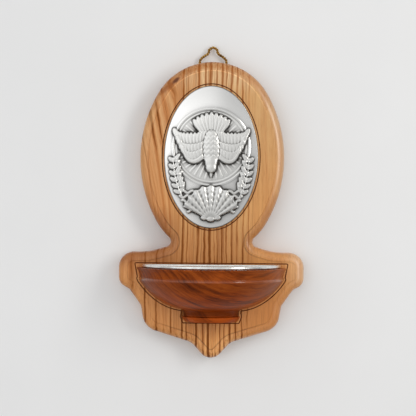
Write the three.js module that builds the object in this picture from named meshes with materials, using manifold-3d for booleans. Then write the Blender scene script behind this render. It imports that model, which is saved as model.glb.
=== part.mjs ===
// Wall-hung holy water stoup: a moulded hardwood board that carries an embossed oval plaque, a turned
// half bowl with a lift-out metal cup, and a wire hanger in a pocket in its back.
// Millimetres. +Z is up, the wall is the plane y = 0 and the front faces -Y.
// The origin lies on the wall face, level with the middle of the board's oval.
import * as THREE from "three";
import { mergeVertices } from "three/addons/utils/BufferGeometryUtils.js";
import Module from "manifold-3d";

const wasm = await Module();
wasm.setup();

// Board
const BOARD_THICKNESS = 15;
const EDGE_ROUND = 5; // quarter round along the front edge
const EDGE_STEP = 0.5; // drop that the moulding cutter leaves beside the flat face
const STEP_SLOPE = 0.2; // how far that drop leans inwards
const BACK_CHAMFER = 0.8;
const OVAL_HALF_WIDTH = 42.7;
const OVAL_HALF_HEIGHT = 57;
const OVAL_END_RADIUS = 37.5;
const NECK_FILLET = 3.3;
const SHOULDER_SLOPE_DEG = 17.4;
const SHOULDER_IN = 18; // from the ear's side in to where the slope would meet its level top
const SHOULDER_Z = -55.9; // level of the ears' top
const SHOULDER_SWEEP = 40;
const EAR_HALF_WIDTH = 54.8;
const EAR_HEIGHT = 18.7;
const EAR_TOP_FILLET = 8.9;
const EAR_BOTTOM_FILLET = 6.3;
const NOTCH_IN = 6.3; // from the ear's side, as the flank and the lobe below
const NOTCH_BELOW = 3.3; // under the ear
const NOTCH_FILLET = 2;
const FLANK_IN = 13.2;
const FLANK_BELOW = 9.7; // under the notch
const FLANK_FILLET = 5;
const LOBE_IN = 15.4;
const LOBE_BELOW = 13; // under the flank
const LOBE_FILLET = 10.8;
const TIP_NOTCH_X = 11.5;
const TIP_NOTCH_BELOW = 8.8; // under the lobe
const TIP_NOTCH_FILLET = 7;
const TIP_BELOW = 12.7; // under the tip's notch, where its two sides would meet
const TIP_FILLET = 7.4;

// Lines engraved in the front face
const GROOVE_WIDTH = 0.75;
const GROOVE_DEPTH = 0.5;
const PLAQUE_LINE_GAP = 1.2; // from the plaque's edge to the middle of its line
const BOWL_LINE_GAP = 1.2; // from the bowl's outline to the middle of its line
const BOWL_LINE_RISE = 0.4; // of its straight top above the cup's lip

// Plaque
const PLAQUE_HALF_WIDTH = 27.7;
const PLAQUE_HALF_HEIGHT = 42;
const PLAQUE_X = -0.7;
const PLAQUE_Z = 0.4;
const PLAQUE_RIM = 1.2; // height of the upright edge
const PLAQUE_CORNER = 0.7; // round between the edge and the dome
const PLAQUE_CROWN = 0.5; // rise of the dome above that round
const FOIL = 0.45;
const ADHESIVE = 0.5;
const RELIEF_RISE = 1.25; // of the dove's wings and the shell above the dome
const RELIEF_DRAFT = 0.4; // how far their sides lean inwards
const DOVE_BODY_RISE = 2.1;
const DOVE_BODY_DRAFT = 1.6;

// Bowl, turned and sawn in half: radii from its axis, levels from its rim
const BOWL_RIM_Z = -64.7;
const BOWL_RADIUS = 44;
const RIM_EASE = 0.6; // round on the rim's outer edge
const RIM_FLARE = 1.6; // from the waist under the rim out to the rim
const WAIST_DROP = 5.7;
const BEAD_PROUD = 0.4;
const BEAD_HALF = 1.1;
const BEAD_TURN_DEG = 50; // of the bead's round, above and below its crest
const BODY_FLAT = 14.9; // radius at which the body runs flat
const BODY_DEPTH = 24.5; // from the rim down to that flat
const BODY_TALL = 60; // half height of the ellipse that the body follows
const FOOT_RADIUS = 16.9;
const NECK_IN = 0.5; // from the foot's radius in to its neck
const NECK_COVE = 2.6; // round between the neck and the body
const NECK_HEIGHT = 4.2; // from the body down to the groove that parts the neck from the foot
const FOOT_GROOVE = 0.6; // depth of that groove, and half its width
const FOOT_HEIGHT = 3.3;
const BASE_IN = 1.5; // from the foot's radius in to its base
const RIM_WALL = 4.7;
const BODY_WALL = 4.1;
const BOWL_BACK_WALL = 3.5; // wood between the board and the cup's pocket

// Cup of sheet metal
const CUP_SHEET = 0.8;
const CUP_RISE = 4.6; // of the centre of the cup's round side above the rim
const CUP_UPRIGHT = 0.8; // from the rim down to where that side turns upright
const LIP_WIDTH = 2.8; // of the rolled lip
const LIP_HEIGHT = 1.9;
const CUP_CLEARANCE = 0.3;

// Hanger: a wire loop in the fold of a nailed strap, heights from the board's top edge
const WIRE = 1.7;
const HINGE_BELOW = 9.5;
const LOOP_HALF_WIDTH = 7.8;
const LOOP_SHOULDER_ABOVE = 3.3;
const LOOP_WAIST_HALF = 2.9;
const LOOP_WAIST_ABOVE = 5.9;
const LOOP_TOP_ABOVE = 9.4;
const STRAP_SHEET = 0.5;
const STRAP_WIDTH = 8;
const STRAP_LENGTH = 8.5;
const STRAP_PLAY = 0.15; // between the wire and the fold
const NAIL_SPACING = 4.2;
const NAIL_BELOW = 5.4; // under the hinge
const NAIL_SHANK = 1.2;
const NAIL_HEAD = 2.8;
const NAIL_HEAD_HEIGHT = 0.7;
const NAIL_LENGTH = 8;
const POCKET_SPARE = 0.3; // between the hanger and the wall face
const POCKET_MARGIN = 1.35; // beside the loop
const POCKET_FOOT = 1.5; // under the strap
const POCKET_CORNER = 3;

// Screws that hold the bowl
const SCREW_HEAD = 6.4;
const SCREW_SHANK = 3.4;
const SCREW_LENGTH = 24;
const SCREW_TIP = 4;
const SCREW_SINK = 0.3; // the head lies this deep under the wall face
const SCREW_SPACING = 17;

const SEAT_GAP = 0.1; // between flat faces that rest on each other
const HOLE_CLEARANCE = 0.3; // round a shank or a head
const CHORD_ERROR = 0.045; // most that a facet of an outline leaves its arc
const TURNED_FACETS = 64; // round a whole turned piece
const PLAQUE_FACETS = 48;
const SMALL_FACETS = 14; // round a nail or a screw
const BODY_STEPS = 12; // down the round side of the bowl or the cup
const OVERSHOOT = 2; // how far a cutter runs past a face

// Materials
const oliveWood = new THREE.MeshStandardMaterial({ color: 0xc99a62, roughness: 0.45, metalness: 0 });
const redWood = new THREE.MeshStandardMaterial({ color: 0x7d4223, roughness: 0.35, metalness: 0 });
const silver = new THREE.MeshStandardMaterial({ color: 0xd4d4d0, roughness: 0.25, metalness: 1 });
const steel = new THREE.MeshStandardMaterial({ color: 0xb9bbb8, roughness: 0.3, metalness: 1 });
const brass = new THREE.MeshStandardMaterial({ color: 0xb08a3c, roughness: 0.35, metalness: 1 });
const zinc = new THREE.MeshStandardMaterial({ color: 0xc2b280, roughness: 0.4, metalness: 1 });
const resin = new THREE.MeshStandardMaterial({ color: 0xe8e2d0, roughness: 0.7, metalness: 0 });
const tape = new THREE.MeshStandardMaterial({ color: 0xf2f2ee, roughness: 0.9, metalness: 0 });

// Points of the x-z plane, or (radius, height) of a turned profile
const at = (x, z) => new THREE.Vector2(x, z);

// Right halves of the plaque's motifs from the bottom up, in shares of its half width and half height
const DOVE_WINGS = [
  [0.18, -0.055], [0.29, -0.09], [0.42, -0.09], [0.52, -0.04], [0.6, 0.05], [0.68, 0.155], [0.75, 0.25],
  [0.815, 0.395], [0.77, 0.402], [0.65, 0.338], [0.24, 0.343], [0.395, 0.495], [0.25, 0.572], [0.085, 0.615],
];
const DOVE_BODY = [
  [0.05, -0.222], [0.125, -0.15], [0.165, -0.03], [0.195, 0.1], [0.18, 0.25], [0.115, 0.36], [0.045, 0.395],
];
const SHELL = [
  [0.07, -0.911], [0.21, -0.879], [0.19, -0.833], [0.563, -0.686], [0.505, -0.593], [0.375, -0.486],
  [0.195, -0.408], [0.065, -0.384],
];

// Levels and radii that follow from the sizes above
const waistRadius = BOWL_RADIUS - RIM_FLARE;
const beadRadius = waistRadius + BEAD_PROUD;
const beadLevel = -WAIST_DROP - BEAD_HALF;
const beadTurn = THREE.MathUtils.degToRad(BEAD_TURN_DEG);
const beadCentre = at(beadRadius - BEAD_HALF, beadLevel);
const bodyTop = at(BEAD_HALF * Math.cos(beadTurn), -BEAD_HALF * Math.sin(beadTurn)).add(beadCentre);
const bodyCentre = at(BODY_FLAT, BODY_TALL - BODY_DEPTH);
const bodyHead = Math.asin((bodyTop.y - bodyCentre.y) / BODY_TALL);
const bodyWide = (bodyTop.x - BODY_FLAT) / Math.cos(bodyHead);
const neckRadius = FOOT_RADIUS - NECK_IN;
const baseRadius = FOOT_RADIUS - BASE_IN;
const coveAngle = -Math.acos((neckRadius + NECK_COVE - BODY_FLAT) / bodyWide);
const neckTop = bodyCentre.y + BODY_TALL * Math.sin(coveAngle);
const footTop = neckTop - NECK_HEIGHT;
const baseLevel = footTop - FOOT_HEIGHT;
const cupCentre = at(BODY_FLAT, CUP_RISE);
const cupRadius = BOWL_RADIUS - RIM_WALL - CUP_CLEARANCE;
const cupTall = CUP_RISE + BODY_DEPTH - BODY_WALL - CUP_CLEARANCE;
const cupTurn = Math.asin((CUP_RISE + CUP_UPRIGHT) / cupTall);
const cupWide = (cupRadius - BODY_FLAT) / Math.cos(cupTurn);
const lipTop = SEAT_GAP + LIP_HEIGHT;
const eyeInner = WIRE / 2 + STRAP_PLAY;
const eyeOuter = eyeInner + STRAP_SHEET;
const leafThickness = 2 * STRAP_SHEET;
const hingeZ = OVAL_HALF_HEIGHT - HINGE_BELOW;
const hingeDepth = POCKET_SPARE + eyeOuter;
const pocketDepth = hingeDepth + eyeOuter + SEAT_GAP;
const nailZ = hingeZ - NAIL_BELOW;
const nailSeat = pocketDepth - leafThickness - 2 * SEAT_GAP; // depth of the nail head's underside
const screwZ = BOWL_RIM_Z + neckTop - NECK_HEIGHT / 2;

const screwPlaces = [
  { name: "bowl_screw_left", x: -SCREW_SPACING / 2 },
  { name: "bowl_screw_right", x: SCREW_SPACING / 2 },
];
const nailPlaces = [
  { name: "hanger_nail_left", x: -NAIL_SPACING / 2 },
  { name: "hanger_nail_right", x: NAIL_SPACING / 2 },
];

// Closed geometry to a solid, and back
function solidOf(geometry) {
  const bare = geometry.clone();
  bare.deleteAttribute("normal");
  bare.deleteAttribute("uv");
  const merged = mergeVertices(bare, 1e-4);
  const corners = merged.index.array;
  const kept = [];
  for (let i = 0; i < corners.length; i += 3) {
    const [a, b, c] = corners.slice(i, i + 3);
    if (a !== b && b !== c && c !== a) kept.push(a, b, c);
  }
  return new wasm.Manifold(
    new wasm.Mesh({
      numProp: 3,
      vertProperties: merged.attributes.position.array,
      triVerts: new Uint32Array(kept),
    }),
  );
}

function geometryOf(solid) {
  const { vertProperties, triVerts } = solid.getMesh();
  const geometry = new THREE.BufferGeometry();
  geometry.setAttribute("position", new THREE.BufferAttribute(vertProperties, 3));
  geometry.setIndex(new THREE.BufferAttribute(triVerts, 1));
  geometry.computeVertexNormals();
  return geometry;
}

function piece(name, solid, material) {
  const mesh = new THREE.Mesh(geometryOf(solid), material);
  mesh.name = name;
  return mesh;
}

function groupAt(x, y, z, ...children) {
  const group = new THREE.Group();
  group.position.set(x, y, z);
  group.add(...children);
  return group;
}

function arc(centre, radius, from, to) {
  const step = 2 * Math.acos(1 - Math.min(CHORD_ERROR / radius, 0.2));
  const steps = Math.max(2, Math.ceil(Math.abs(to - from) / step));
  return new THREE.EllipseCurve(centre.x, centre.y, radius, radius, from, to, to < from).getPoints(steps);
}

function ellipse(halfWidth, halfHeight, steps) {
  const points = new THREE.EllipseCurve(0, 0, halfWidth, halfHeight, 0, 2 * Math.PI).getPoints(steps);
  return points.slice(0, -1);
}

const moved = (points, x, z) => points.map((p) => at(p.x + x, p.y + z));
const mirrored = (points) => points.map((p) => at(-p.x, p.y)).reverse();

// A corner for a rounded chain, and the same corners on the other side
const corner = (x, z, radius) => ({ point: at(x, z), radius });
const mirroredCorners = (corners) => corners.map((c) => corner(-c.point.x, c.point.y, c.radius)).reverse();

// A chain of corners, each rounded by its own radius, or plain where it has none. Its two ends are plain.
function rounded(corners) {
  const points = [corners[0].point];
  for (let i = 1; i < corners.length - 1; i++) {
    const { point, radius } = corners[i];
    if (!radius) {
      points.push(point);
      continue;
    }
    const into = point.clone().sub(corners[i - 1].point).normalize();
    const out = corners[i + 1].point.clone().sub(point).normalize();
    const turn = Math.atan2(into.cross(out), into.dot(out));
    const start = point.clone().addScaledVector(into, -radius * Math.tan(Math.abs(turn) / 2));
    const side = at(-into.y, into.x).multiplyScalar(Math.sign(turn));
    const centre = start.clone().addScaledVector(side, radius);
    const from = start.clone().sub(centre).angle();
    points.push(...arc(centre, radius, from, from + turn));
  }
  points.push(corners.at(-1).point);
  return points;
}

function withoutRepeats(points) {
  return points.filter((p, i) => p.distanceTo(points.at(i - 1)) > 1e-3);
}

// A closed outline moved along its own normals, outwards for a positive distance
function grown(outline, distance) {
  return outline.map((p, i) => {
    const into = p.clone().sub(outline.at(i - 1)).normalize();
    const out = outline[(i + 1) % outline.length].clone().sub(p).normalize();
    const normal = at(into.y + out.y, -into.x - out.x).normalize();
    const mitre = Math.max(0.5, normal.dot(at(into.y, -into.x)));
    return p.clone().addScaledVector(normal, distance / mitre);
  });
}

const ringAt = (outline, y) => outline.map((p) => new THREE.Vector3(p.x, y, p.y));

// A skin over rings of equal count, which run anticlockwise seen from the front.
// Open lofts go from back to front and are capped. Closed ones join the last ring to the first.
function loft(rings, closed = false) {
  const count = rings[0].length;
  const index = [];
  const spans = closed ? rings.length : rings.length - 1;
  for (let k = 0; k < spans; k++) {
    for (let i = 0; i < count; i++) {
      const next = (i + 1) % count;
      const above = ((k + 1) % rings.length) * count;
      index.push(k * count + i, k * count + next, above + next);
      index.push(k * count + i, above + next, above + i);
    }
  }
  if (!closed) {
    const cap = (k) => THREE.ShapeUtils.triangulateShape(rings[k].map((p) => at(p.x, p.z)), []);
    const last = rings.length - 1;
    for (const [a, b, c] of cap(0)) index.push(c, b, a);
    for (const [a, b, c] of cap(last)) index.push(last * count + a, last * count + b, last * count + c);
  }
  const geometry = new THREE.BufferGeometry().setFromPoints(rings.flat());
  return solidOf(geometry.setIndex(index));
}

// A solid of revolution about z from points that start and end on the axis, or close on themselves
function turned(profile) {
  return solidOf(new THREE.LatheGeometry(profile, TURNED_FACETS).rotateX(Math.PI / 2));
}

// The same about y, for what is driven in from the back: heights are depths under the wall face
function driven(profile, x, z) {
  const flipped = profile.map((p) => at(p.x, -p.y)).reverse();
  return solidOf(new THREE.LatheGeometry(flipped, SMALL_FACETS).translate(x, 0, z));
}

function block(width, depth, height, x, y, z) {
  return solidOf(new THREE.BoxGeometry(width, depth, height).translate(x, y, z));
}

// Board outline: an oval of four arcs on a neck, shoulders with round ears, a stepped apron and a tip
function boardOutline() {
  const rise = OVAL_HALF_HEIGHT - OVAL_END_RADIUS;
  const sideRadius =
    (OVAL_HALF_WIDTH ** 2 + rise ** 2 - OVAL_END_RADIUS ** 2) / (2 * (OVAL_HALF_WIDTH - OVAL_END_RADIUS));
  const sideCentre = at(OVAL_HALF_WIDTH - sideRadius, 0);
  const topCentre = at(0, rise);
  const lowCentre = at(0, -rise);
  const joint = topCentre.clone().sub(sideCentre).angle();

  // Fillet between the oval's lower arc and the sloping shoulder
  const slope = THREE.MathUtils.degToRad(SHOULDER_SLOPE_DEG);
  const along = at(Math.cos(slope), -Math.sin(slope));
  const up = at(Math.sin(slope), Math.cos(slope));
  const shoulder = at(EAR_HALF_WIDTH - SHOULDER_IN, SHOULDER_Z);
  const reach = shoulder.clone().addScaledVector(up, NECK_FILLET).sub(lowCentre);
  const span = OVAL_END_RADIUS + NECK_FILLET;
  const run = -reach.dot(along) + Math.sqrt(reach.dot(along) ** 2 - reach.lengthSq() + span ** 2);
  const neckCentre = lowCentre.clone().add(reach).addScaledVector(along, run);
  const neckAngle = neckCentre.clone().sub(lowCentre).angle() - 2 * Math.PI;

  const upperRight = [
    ...arc(topCentre, OVAL_END_RADIUS, Math.PI / 2, joint),
    ...arc(sideCentre, sideRadius, joint, -joint),
    ...arc(lowCentre, OVAL_END_RADIUS, -joint, neckAngle),
    ...arc(neckCentre, NECK_FILLET, neckAngle + Math.PI, 1.5 * Math.PI - slope),
  ];

  // Corners down the side, each level hung from the one above
  const earBottom = SHOULDER_Z - EAR_HEIGHT;
  const notch = earBottom - NOTCH_BELOW;
  const flank = notch - FLANK_BELOW;
  const lobe = flank - LOBE_BELOW;
  const tipNotch = lobe - TIP_NOTCH_BELOW;
  const right = [
    corner(shoulder.x, SHOULDER_Z, SHOULDER_SWEEP),
    corner(EAR_HALF_WIDTH, SHOULDER_Z, EAR_TOP_FILLET),
    corner(EAR_HALF_WIDTH, earBottom, EAR_BOTTOM_FILLET),
    corner(EAR_HALF_WIDTH - NOTCH_IN, notch, NOTCH_FILLET),
    corner(EAR_HALF_WIDTH - FLANK_IN, flank, FLANK_FILLET),
    corner(EAR_HALF_WIDTH - LOBE_IN, lobe, LOBE_FILLET),
    corner(TIP_NOTCH_X, tipNotch, TIP_NOTCH_FILLET),
  ];
  const upperLeft = mirrored(upperRight);
  const lower = rounded([
    { point: upperRight.at(-1) },
    ...right,
    corner(0, tipNotch - TIP_BELOW, TIP_FILLET),
    ...mirroredCorners(right),
    { point: upperLeft[0] },
  ]);
  return withoutRepeats([...upperRight, ...lower, ...upperLeft]).reverse();
}

// Part of an ellipse between two turns, moved outwards by a gap
function ovalCurve(centre, wide, tall, gap, from, to) {
  const curve = new THREE.EllipseCurve(centre.x, centre.y, wide, tall, from, to, to < from);
  return curve.getPoints(BODY_STEPS).map((p) => {
    const out = p.clone().sub(centre).divide(at(wide ** 2, tall ** 2)).normalize();
    return p.addScaledVector(out, gap);
  });
}

// The bowl's round body, moved outwards by a gap
function bodyCurve(gap, from, to) {
  return ovalCurve(bodyCentre, bodyWide, BODY_TALL, gap, from, to);
}

// The outline that the engraved line follows round the bowl, relative to the middle of its rim
function bowlLine() {
  const gap = BOWL_LINE_GAP;
  const top = lipTop + BOWL_LINE_RISE;
  const ease = GROOVE_WIDTH;
  const neckAngle = -Math.acos((neckRadius + gap - BODY_FLAT) / bodyWide);
  const right = [
    corner(BOWL_RADIUS + gap, top, ease),
    corner(waistRadius + gap, -WAIST_DROP, ease),
    corner(beadRadius + gap, beadLevel, ease),
    ...bodyCurve(gap, bodyHead, neckAngle).map((p) => corner(p.x, p.y, 0)),
    corner(neckRadius + gap, neckTop - NECK_COVE, 0),
    corner(FOOT_RADIUS + gap, footTop - FOOT_GROOVE, ease),
    corner(baseRadius + gap, baseLevel - gap, ease),
  ];
  const middle = { point: at(0, top) };
  const whole = rounded([middle, ...right, ...mirroredCorners(right), middle]);
  return withoutRepeats(whole.slice(0, -1)).reverse();
}

// A V-shaped cutter that runs along a closed outline on the front face
function groove(outline) {
  const splay = (GROOVE_WIDTH / 2) * (1 + SEAT_GAP / GROOVE_DEPTH);
  const face = -BOARD_THICKNESS - SEAT_GAP;
  const bottom = ringAt(outline, -BOARD_THICKNESS + GROOVE_DEPTH);
  return loft([bottom, ringAt(grown(outline, splay), face), ringAt(grown(outline, -splay), face)], true);
}

// The pocket for the hanger, open at the board's top edge
function hangerPocket() {
  const half = LOOP_HALF_WIDTH + WIRE / 2 + POCKET_MARGIN;
  const top = OVAL_HALF_HEIGHT + OVERSHOOT;
  const low = hingeZ - STRAP_LENGTH - POCKET_FOOT + POCKET_CORNER;
  const shape = new THREE.Shape();
  shape.moveTo(half, top);
  shape.lineTo(-half, top);
  shape.lineTo(-half, low);
  shape.absarc(-half + POCKET_CORNER, low, POCKET_CORNER, Math.PI, 1.5 * Math.PI);
  shape.absarc(half - POCKET_CORNER, low, POCKET_CORNER, 1.5 * Math.PI, 2 * Math.PI);
  shape.closePath();
  const plain = { depth: pocketDepth + OVERSHOOT, bevelEnabled: false, curveSegments: 4 };
  return solidOf(new THREE.ExtrudeGeometry(shape, plain).rotateX(Math.PI / 2).translate(0, OVERSHOOT, 0));
}

// Countersunk screw. extra widens it into its hole.
function screwProfile(extra) {
  const head = SCREW_HEAD / 2 + extra;
  const shank = SCREW_SHANK / 2 + extra;
  const end = SCREW_LENGTH + extra;
  return [
    at(0, SCREW_SINK),
    at(head, SCREW_SINK),
    at(shank, SCREW_SINK + head - shank),
    at(shank, end - SCREW_TIP),
    at(0, end),
  ];
}

function screwHole(x) {
  const [, mouth, ...rest] = screwProfile(HOLE_CLEARANCE);
  return driven([at(0, -OVERSHOOT), at(mouth.x, -OVERSHOOT), mouth, ...rest], x, screwZ);
}

// Round-headed nail
function nailProfile() {
  const head = NAIL_HEAD / 2;
  const shank = NAIL_SHANK / 2;
  const crown = nailSeat - NAIL_HEAD_HEIGHT;
  const end = nailSeat + NAIL_LENGTH;
  const dome = new THREE.QuadraticBezierCurve(at(0, crown), at(head, crown), at(head, nailSeat));
  return [...dome.getPoints(4), at(shank, nailSeat), at(shank, end - NAIL_SHANK), at(0, end)];
}

function nailHole(x) {
  const radius = NAIL_SHANK / 2 + HOLE_CLEARANCE;
  const end = nailSeat + NAIL_LENGTH + HOLE_CLEARANCE;
  return driven([at(0, 0), at(radius, 0), at(radius, end), at(0, end)], x, nailZ);
}

// The moulded edge: each ring of the board is its outline drawn in by the cutter's profile
function makeBoard() {
  const outline = boardOutline();
  const roundStart = BOARD_THICKNESS - EDGE_STEP - EDGE_ROUND;
  const rings = [
    ringAt(grown(outline, -BACK_CHAMFER), 0),
    ringAt(outline, -BACK_CHAMFER),
    ringAt(outline, -roundStart),
  ];
  const roundSteps = 5;
  for (let i = 1; i <= roundSteps; i++) {
    const turn = (i / roundSteps) * (Math.PI / 2);
    const inset = EDGE_ROUND * (1 - Math.cos(turn));
    rings.push(ringAt(grown(outline, -inset), -roundStart - EDGE_ROUND * Math.sin(turn)));
  }
  rings.push(ringAt(grown(outline, -EDGE_ROUND - STEP_SLOPE), -BOARD_THICKNESS));

  const plaqueLine = ellipse(
    PLAQUE_HALF_WIDTH + PLAQUE_LINE_GAP, PLAQUE_HALF_HEIGHT + PLAQUE_LINE_GAP, PLAQUE_FACETS);
  let board = loft(rings)
    .subtract(hangerPocket())
    .subtract(groove(moved(plaqueLine, PLAQUE_X, PLAQUE_Z)))
    .subtract(groove(moved(bowlLine(), 0, BOWL_RIM_Z)));
  for (const { x } of screwPlaces) board = board.subtract(screwHole(x));
  for (const { x } of nailPlaces) board = board.subtract(nailHole(x));
  return piece("back_board", board, oliveWood);
}

// The plaque's domed form, drawn in by skin. Heights are measured forwards from the board's face.
function domeRings(skin) {
  const rings = [];
  const ring = (inset, height) => {
    const drawn = skin + inset;
    const plan = ellipse(PLAQUE_HALF_WIDTH - drawn, PLAQUE_HALF_HEIGHT - drawn, PLAQUE_FACETS);
    rings.push(ringAt(plan, -height));
  };
  const top = PLAQUE_RIM + PLAQUE_CORNER - skin;
  const reach = PLAQUE_HALF_WIDTH - PLAQUE_CORNER - skin;
  ring(0, 0);
  for (const turn of [0, Math.PI / 6, Math.PI / 3, Math.PI / 2]) {
    ring(PLAQUE_CORNER * (1 - Math.cos(turn)), top - PLAQUE_CORNER * (1 - Math.sin(turn)));
  }
  for (const share of [0.2, 0.5, 0.9]) {
    ring(PLAQUE_CORNER + reach * share, top + PLAQUE_CROWN * (1 - (1 - share) ** 2));
  }
  return rings;
}

// A raised form on the dome. Its right half is given in shares of the plaque's half sizes.
function embossed(shares, rise, draft) {
  const half = shares.map(([x, z]) => at(x * PLAQUE_HALF_WIDTH, z * PLAQUE_HALF_HEIGHT));
  const outline = [...half, ...mirrored(half)];
  const top = grown(outline, -draft).map((p) => {
    const out = at(p.x / PLAQUE_HALF_WIDTH, p.y / PLAQUE_HALF_HEIGHT).lengthSq();
    const dome = PLAQUE_RIM + PLAQUE_CORNER + PLAQUE_CROWN * (1 - out);
    return new THREE.Vector3(p.x, -dome - rise, p.y);
  });
  return loft([ringAt(outline, -PLAQUE_RIM), top]);
}

function makePlaque() {
  const pad = ellipse(PLAQUE_HALF_WIDTH - 2 * FOIL, PLAQUE_HALF_HEIGHT - 2 * FOIL, PLAQUE_FACETS);
  const adhesive = loft([ringAt(pad, -SEAT_GAP), ringAt(pad, -SEAT_GAP - ADHESIVE)]);
  const behind = (height) => block(
    4 * PLAQUE_HALF_WIDTH, 2 * OVERSHOOT, 4 * PLAQUE_HALF_HEIGHT, 0, OVERSHOOT - height, 0);
  const hollow = domeRings(FOIL);
  hollow[0] = hollow[0].map((p) => p.clone().setY(OVERSHOOT));
  const face = loft(domeRings(0))
    .add(embossed(DOVE_WINGS, RELIEF_RISE, RELIEF_DRAFT))
    .add(embossed(DOVE_BODY, DOVE_BODY_RISE, DOVE_BODY_DRAFT))
    .add(embossed(SHELL, RELIEF_RISE, RELIEF_DRAFT))
    .subtract(loft(hollow))
    .subtract(behind(SEAT_GAP))
    .simplify(CHORD_ERROR / 2);
  const core = loft(domeRings(FOIL + SEAT_GAP)).subtract(behind(ADHESIVE + 2 * SEAT_GAP));
  return groupAt(
    PLAQUE_X, -BOARD_THICKNESS, PLAQUE_Z,
    piece("plaque_face", face, silver),
    piece("plaque_core", core, resin),
    piece("plaque_adhesive", adhesive, tape),
  );
}

// The bowl's profile from the base up to the rim: foot, neck, round body, bead, cove and rim
function bowlProfile() {
  const foot = new THREE.QuadraticBezierCurve(
    at(baseRadius, baseLevel),
    at(FOOT_RADIUS, (baseLevel + footTop) / 2),
    at(FOOT_RADIUS, footTop - FOOT_GROOVE),
  );
  const neck = [at(neckRadius - FOOT_GROOVE, footTop), at(neckRadius, footTop + FOOT_GROOVE)];
  const neckCove = arc(at(neckRadius + NECK_COVE, neckTop - NECK_COVE), NECK_COVE, Math.PI, Math.PI / 2);
  const bead = arc(beadCentre, BEAD_HALF, -beadTurn, beadTurn);
  const cove = new THREE.QuadraticBezierCurve(
    at(waistRadius, -WAIST_DROP),
    at(waistRadius, -WAIST_DROP / 2),
    at(BOWL_RADIUS, -RIM_EASE),
  );
  return [
    at(0, baseLevel),
    ...foot.getPoints(5),
    ...neck,
    ...neckCove,
    ...bodyCurve(0, coveAngle, bodyHead).slice(1),
    ...bead.slice(1),
    ...cove.getPoints(5),
    at(BOWL_RADIUS - RIM_EASE, 0),
    at(0, 0),
  ];
}

// The cup's outer form drawn in by skin: a flat bottom, a round side and a short upright top
function cupProfile(skin, top) {
  const side = ovalCurve(cupCentre, cupWide, cupTall, -skin, -Math.PI / 2, -cupTurn);
  return [at(0, side[0].y), ...side, at(cupRadius - skin, top), at(0, top)];
}

// The half space in front of a plane that lies a given distance before the board
function inFrontOf(distance) {
  const size = 4 * BOWL_RADIUS;
  return block(size, size, size, 0, -distance - size / 2, 0);
}

function makeBowl() {
  const pocket = turned(cupProfile(-CUP_CLEARANCE, OVERSHOOT)).intersect(inFrontOf(BOWL_BACK_WALL));
  let bowl = turned(bowlProfile()).intersect(inFrontOf(SEAT_GAP)).subtract(pocket);
  for (const { x } of screwPlaces) {
    bowl = bowl.subtract(screwHole(x).translate([0, BOARD_THICKNESS, -BOWL_RIM_Z]));
  }

  const lipRadius = cupRadius - CUP_SHEET + LIP_WIDTH / 2;
  const lip = new THREE.EllipseCurve(lipRadius, lipTop - LIP_HEIGHT / 2, LIP_WIDTH / 2, LIP_HEIGHT / 2);
  const cupBack = BOWL_BACK_WALL + CUP_CLEARANCE;
  const inside = turned(cupProfile(CUP_SHEET, lipTop + OVERSHOOT)).intersect(inFrontOf(cupBack + CUP_SHEET));
  const cup = turned(cupProfile(0, lipTop))
    .add(turned(lip.getPoints(10)))
    .intersect(inFrontOf(cupBack))
    .subtract(inside);
  return groupAt(
    0, -BOARD_THICKNESS, BOWL_RIM_Z,
    piece("bowl_shell", bowl, redWood),
    piece("bowl_liner", cup, steel),
  );
}

function makeScrews() {
  return screwPlaces.map(({ name, x }) => piece(name, driven(screwProfile(0), x, screwZ), zinc));
}

// The loop's middle line in its own plane, about the hinge
function loopCurve() {
  const shoulder = HINGE_BELOW + LOOP_SHOULDER_ABOVE;
  const waist = HINGE_BELOW + LOOP_WAIST_ABOVE;
  const top = HINGE_BELOW + LOOP_TOP_ABOVE;
  const right = [
    at(0, 0),
    at(LOOP_HALF_WIDTH - WIRE, 0),
    at(LOOP_HALF_WIDTH - 0.3 * WIRE, 0.3 * WIRE),
    at(LOOP_HALF_WIDTH, WIRE),
    at(LOOP_HALF_WIDTH, shoulder / 2),
    at(LOOP_HALF_WIDTH, shoulder - WIRE),
    at(LOOP_HALF_WIDTH - 0.5 * WIRE, shoulder - 0.25 * WIRE),
    at((LOOP_HALF_WIDTH + LOOP_WAIST_HALF) / 2, (2 * shoulder + waist) / 3),
    at(LOOP_WAIST_HALF, waist),
    at(0.8 * LOOP_WAIST_HALF, (waist + 1.5 * top) / 2.5),
  ];
  const points = [...right, at(0, top), ...mirrored(right.slice(1))];
  return new THREE.CatmullRomCurve3(points.map((p) => new THREE.Vector3(p.x, p.y, 0)), true, "centripetal");
}

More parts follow.
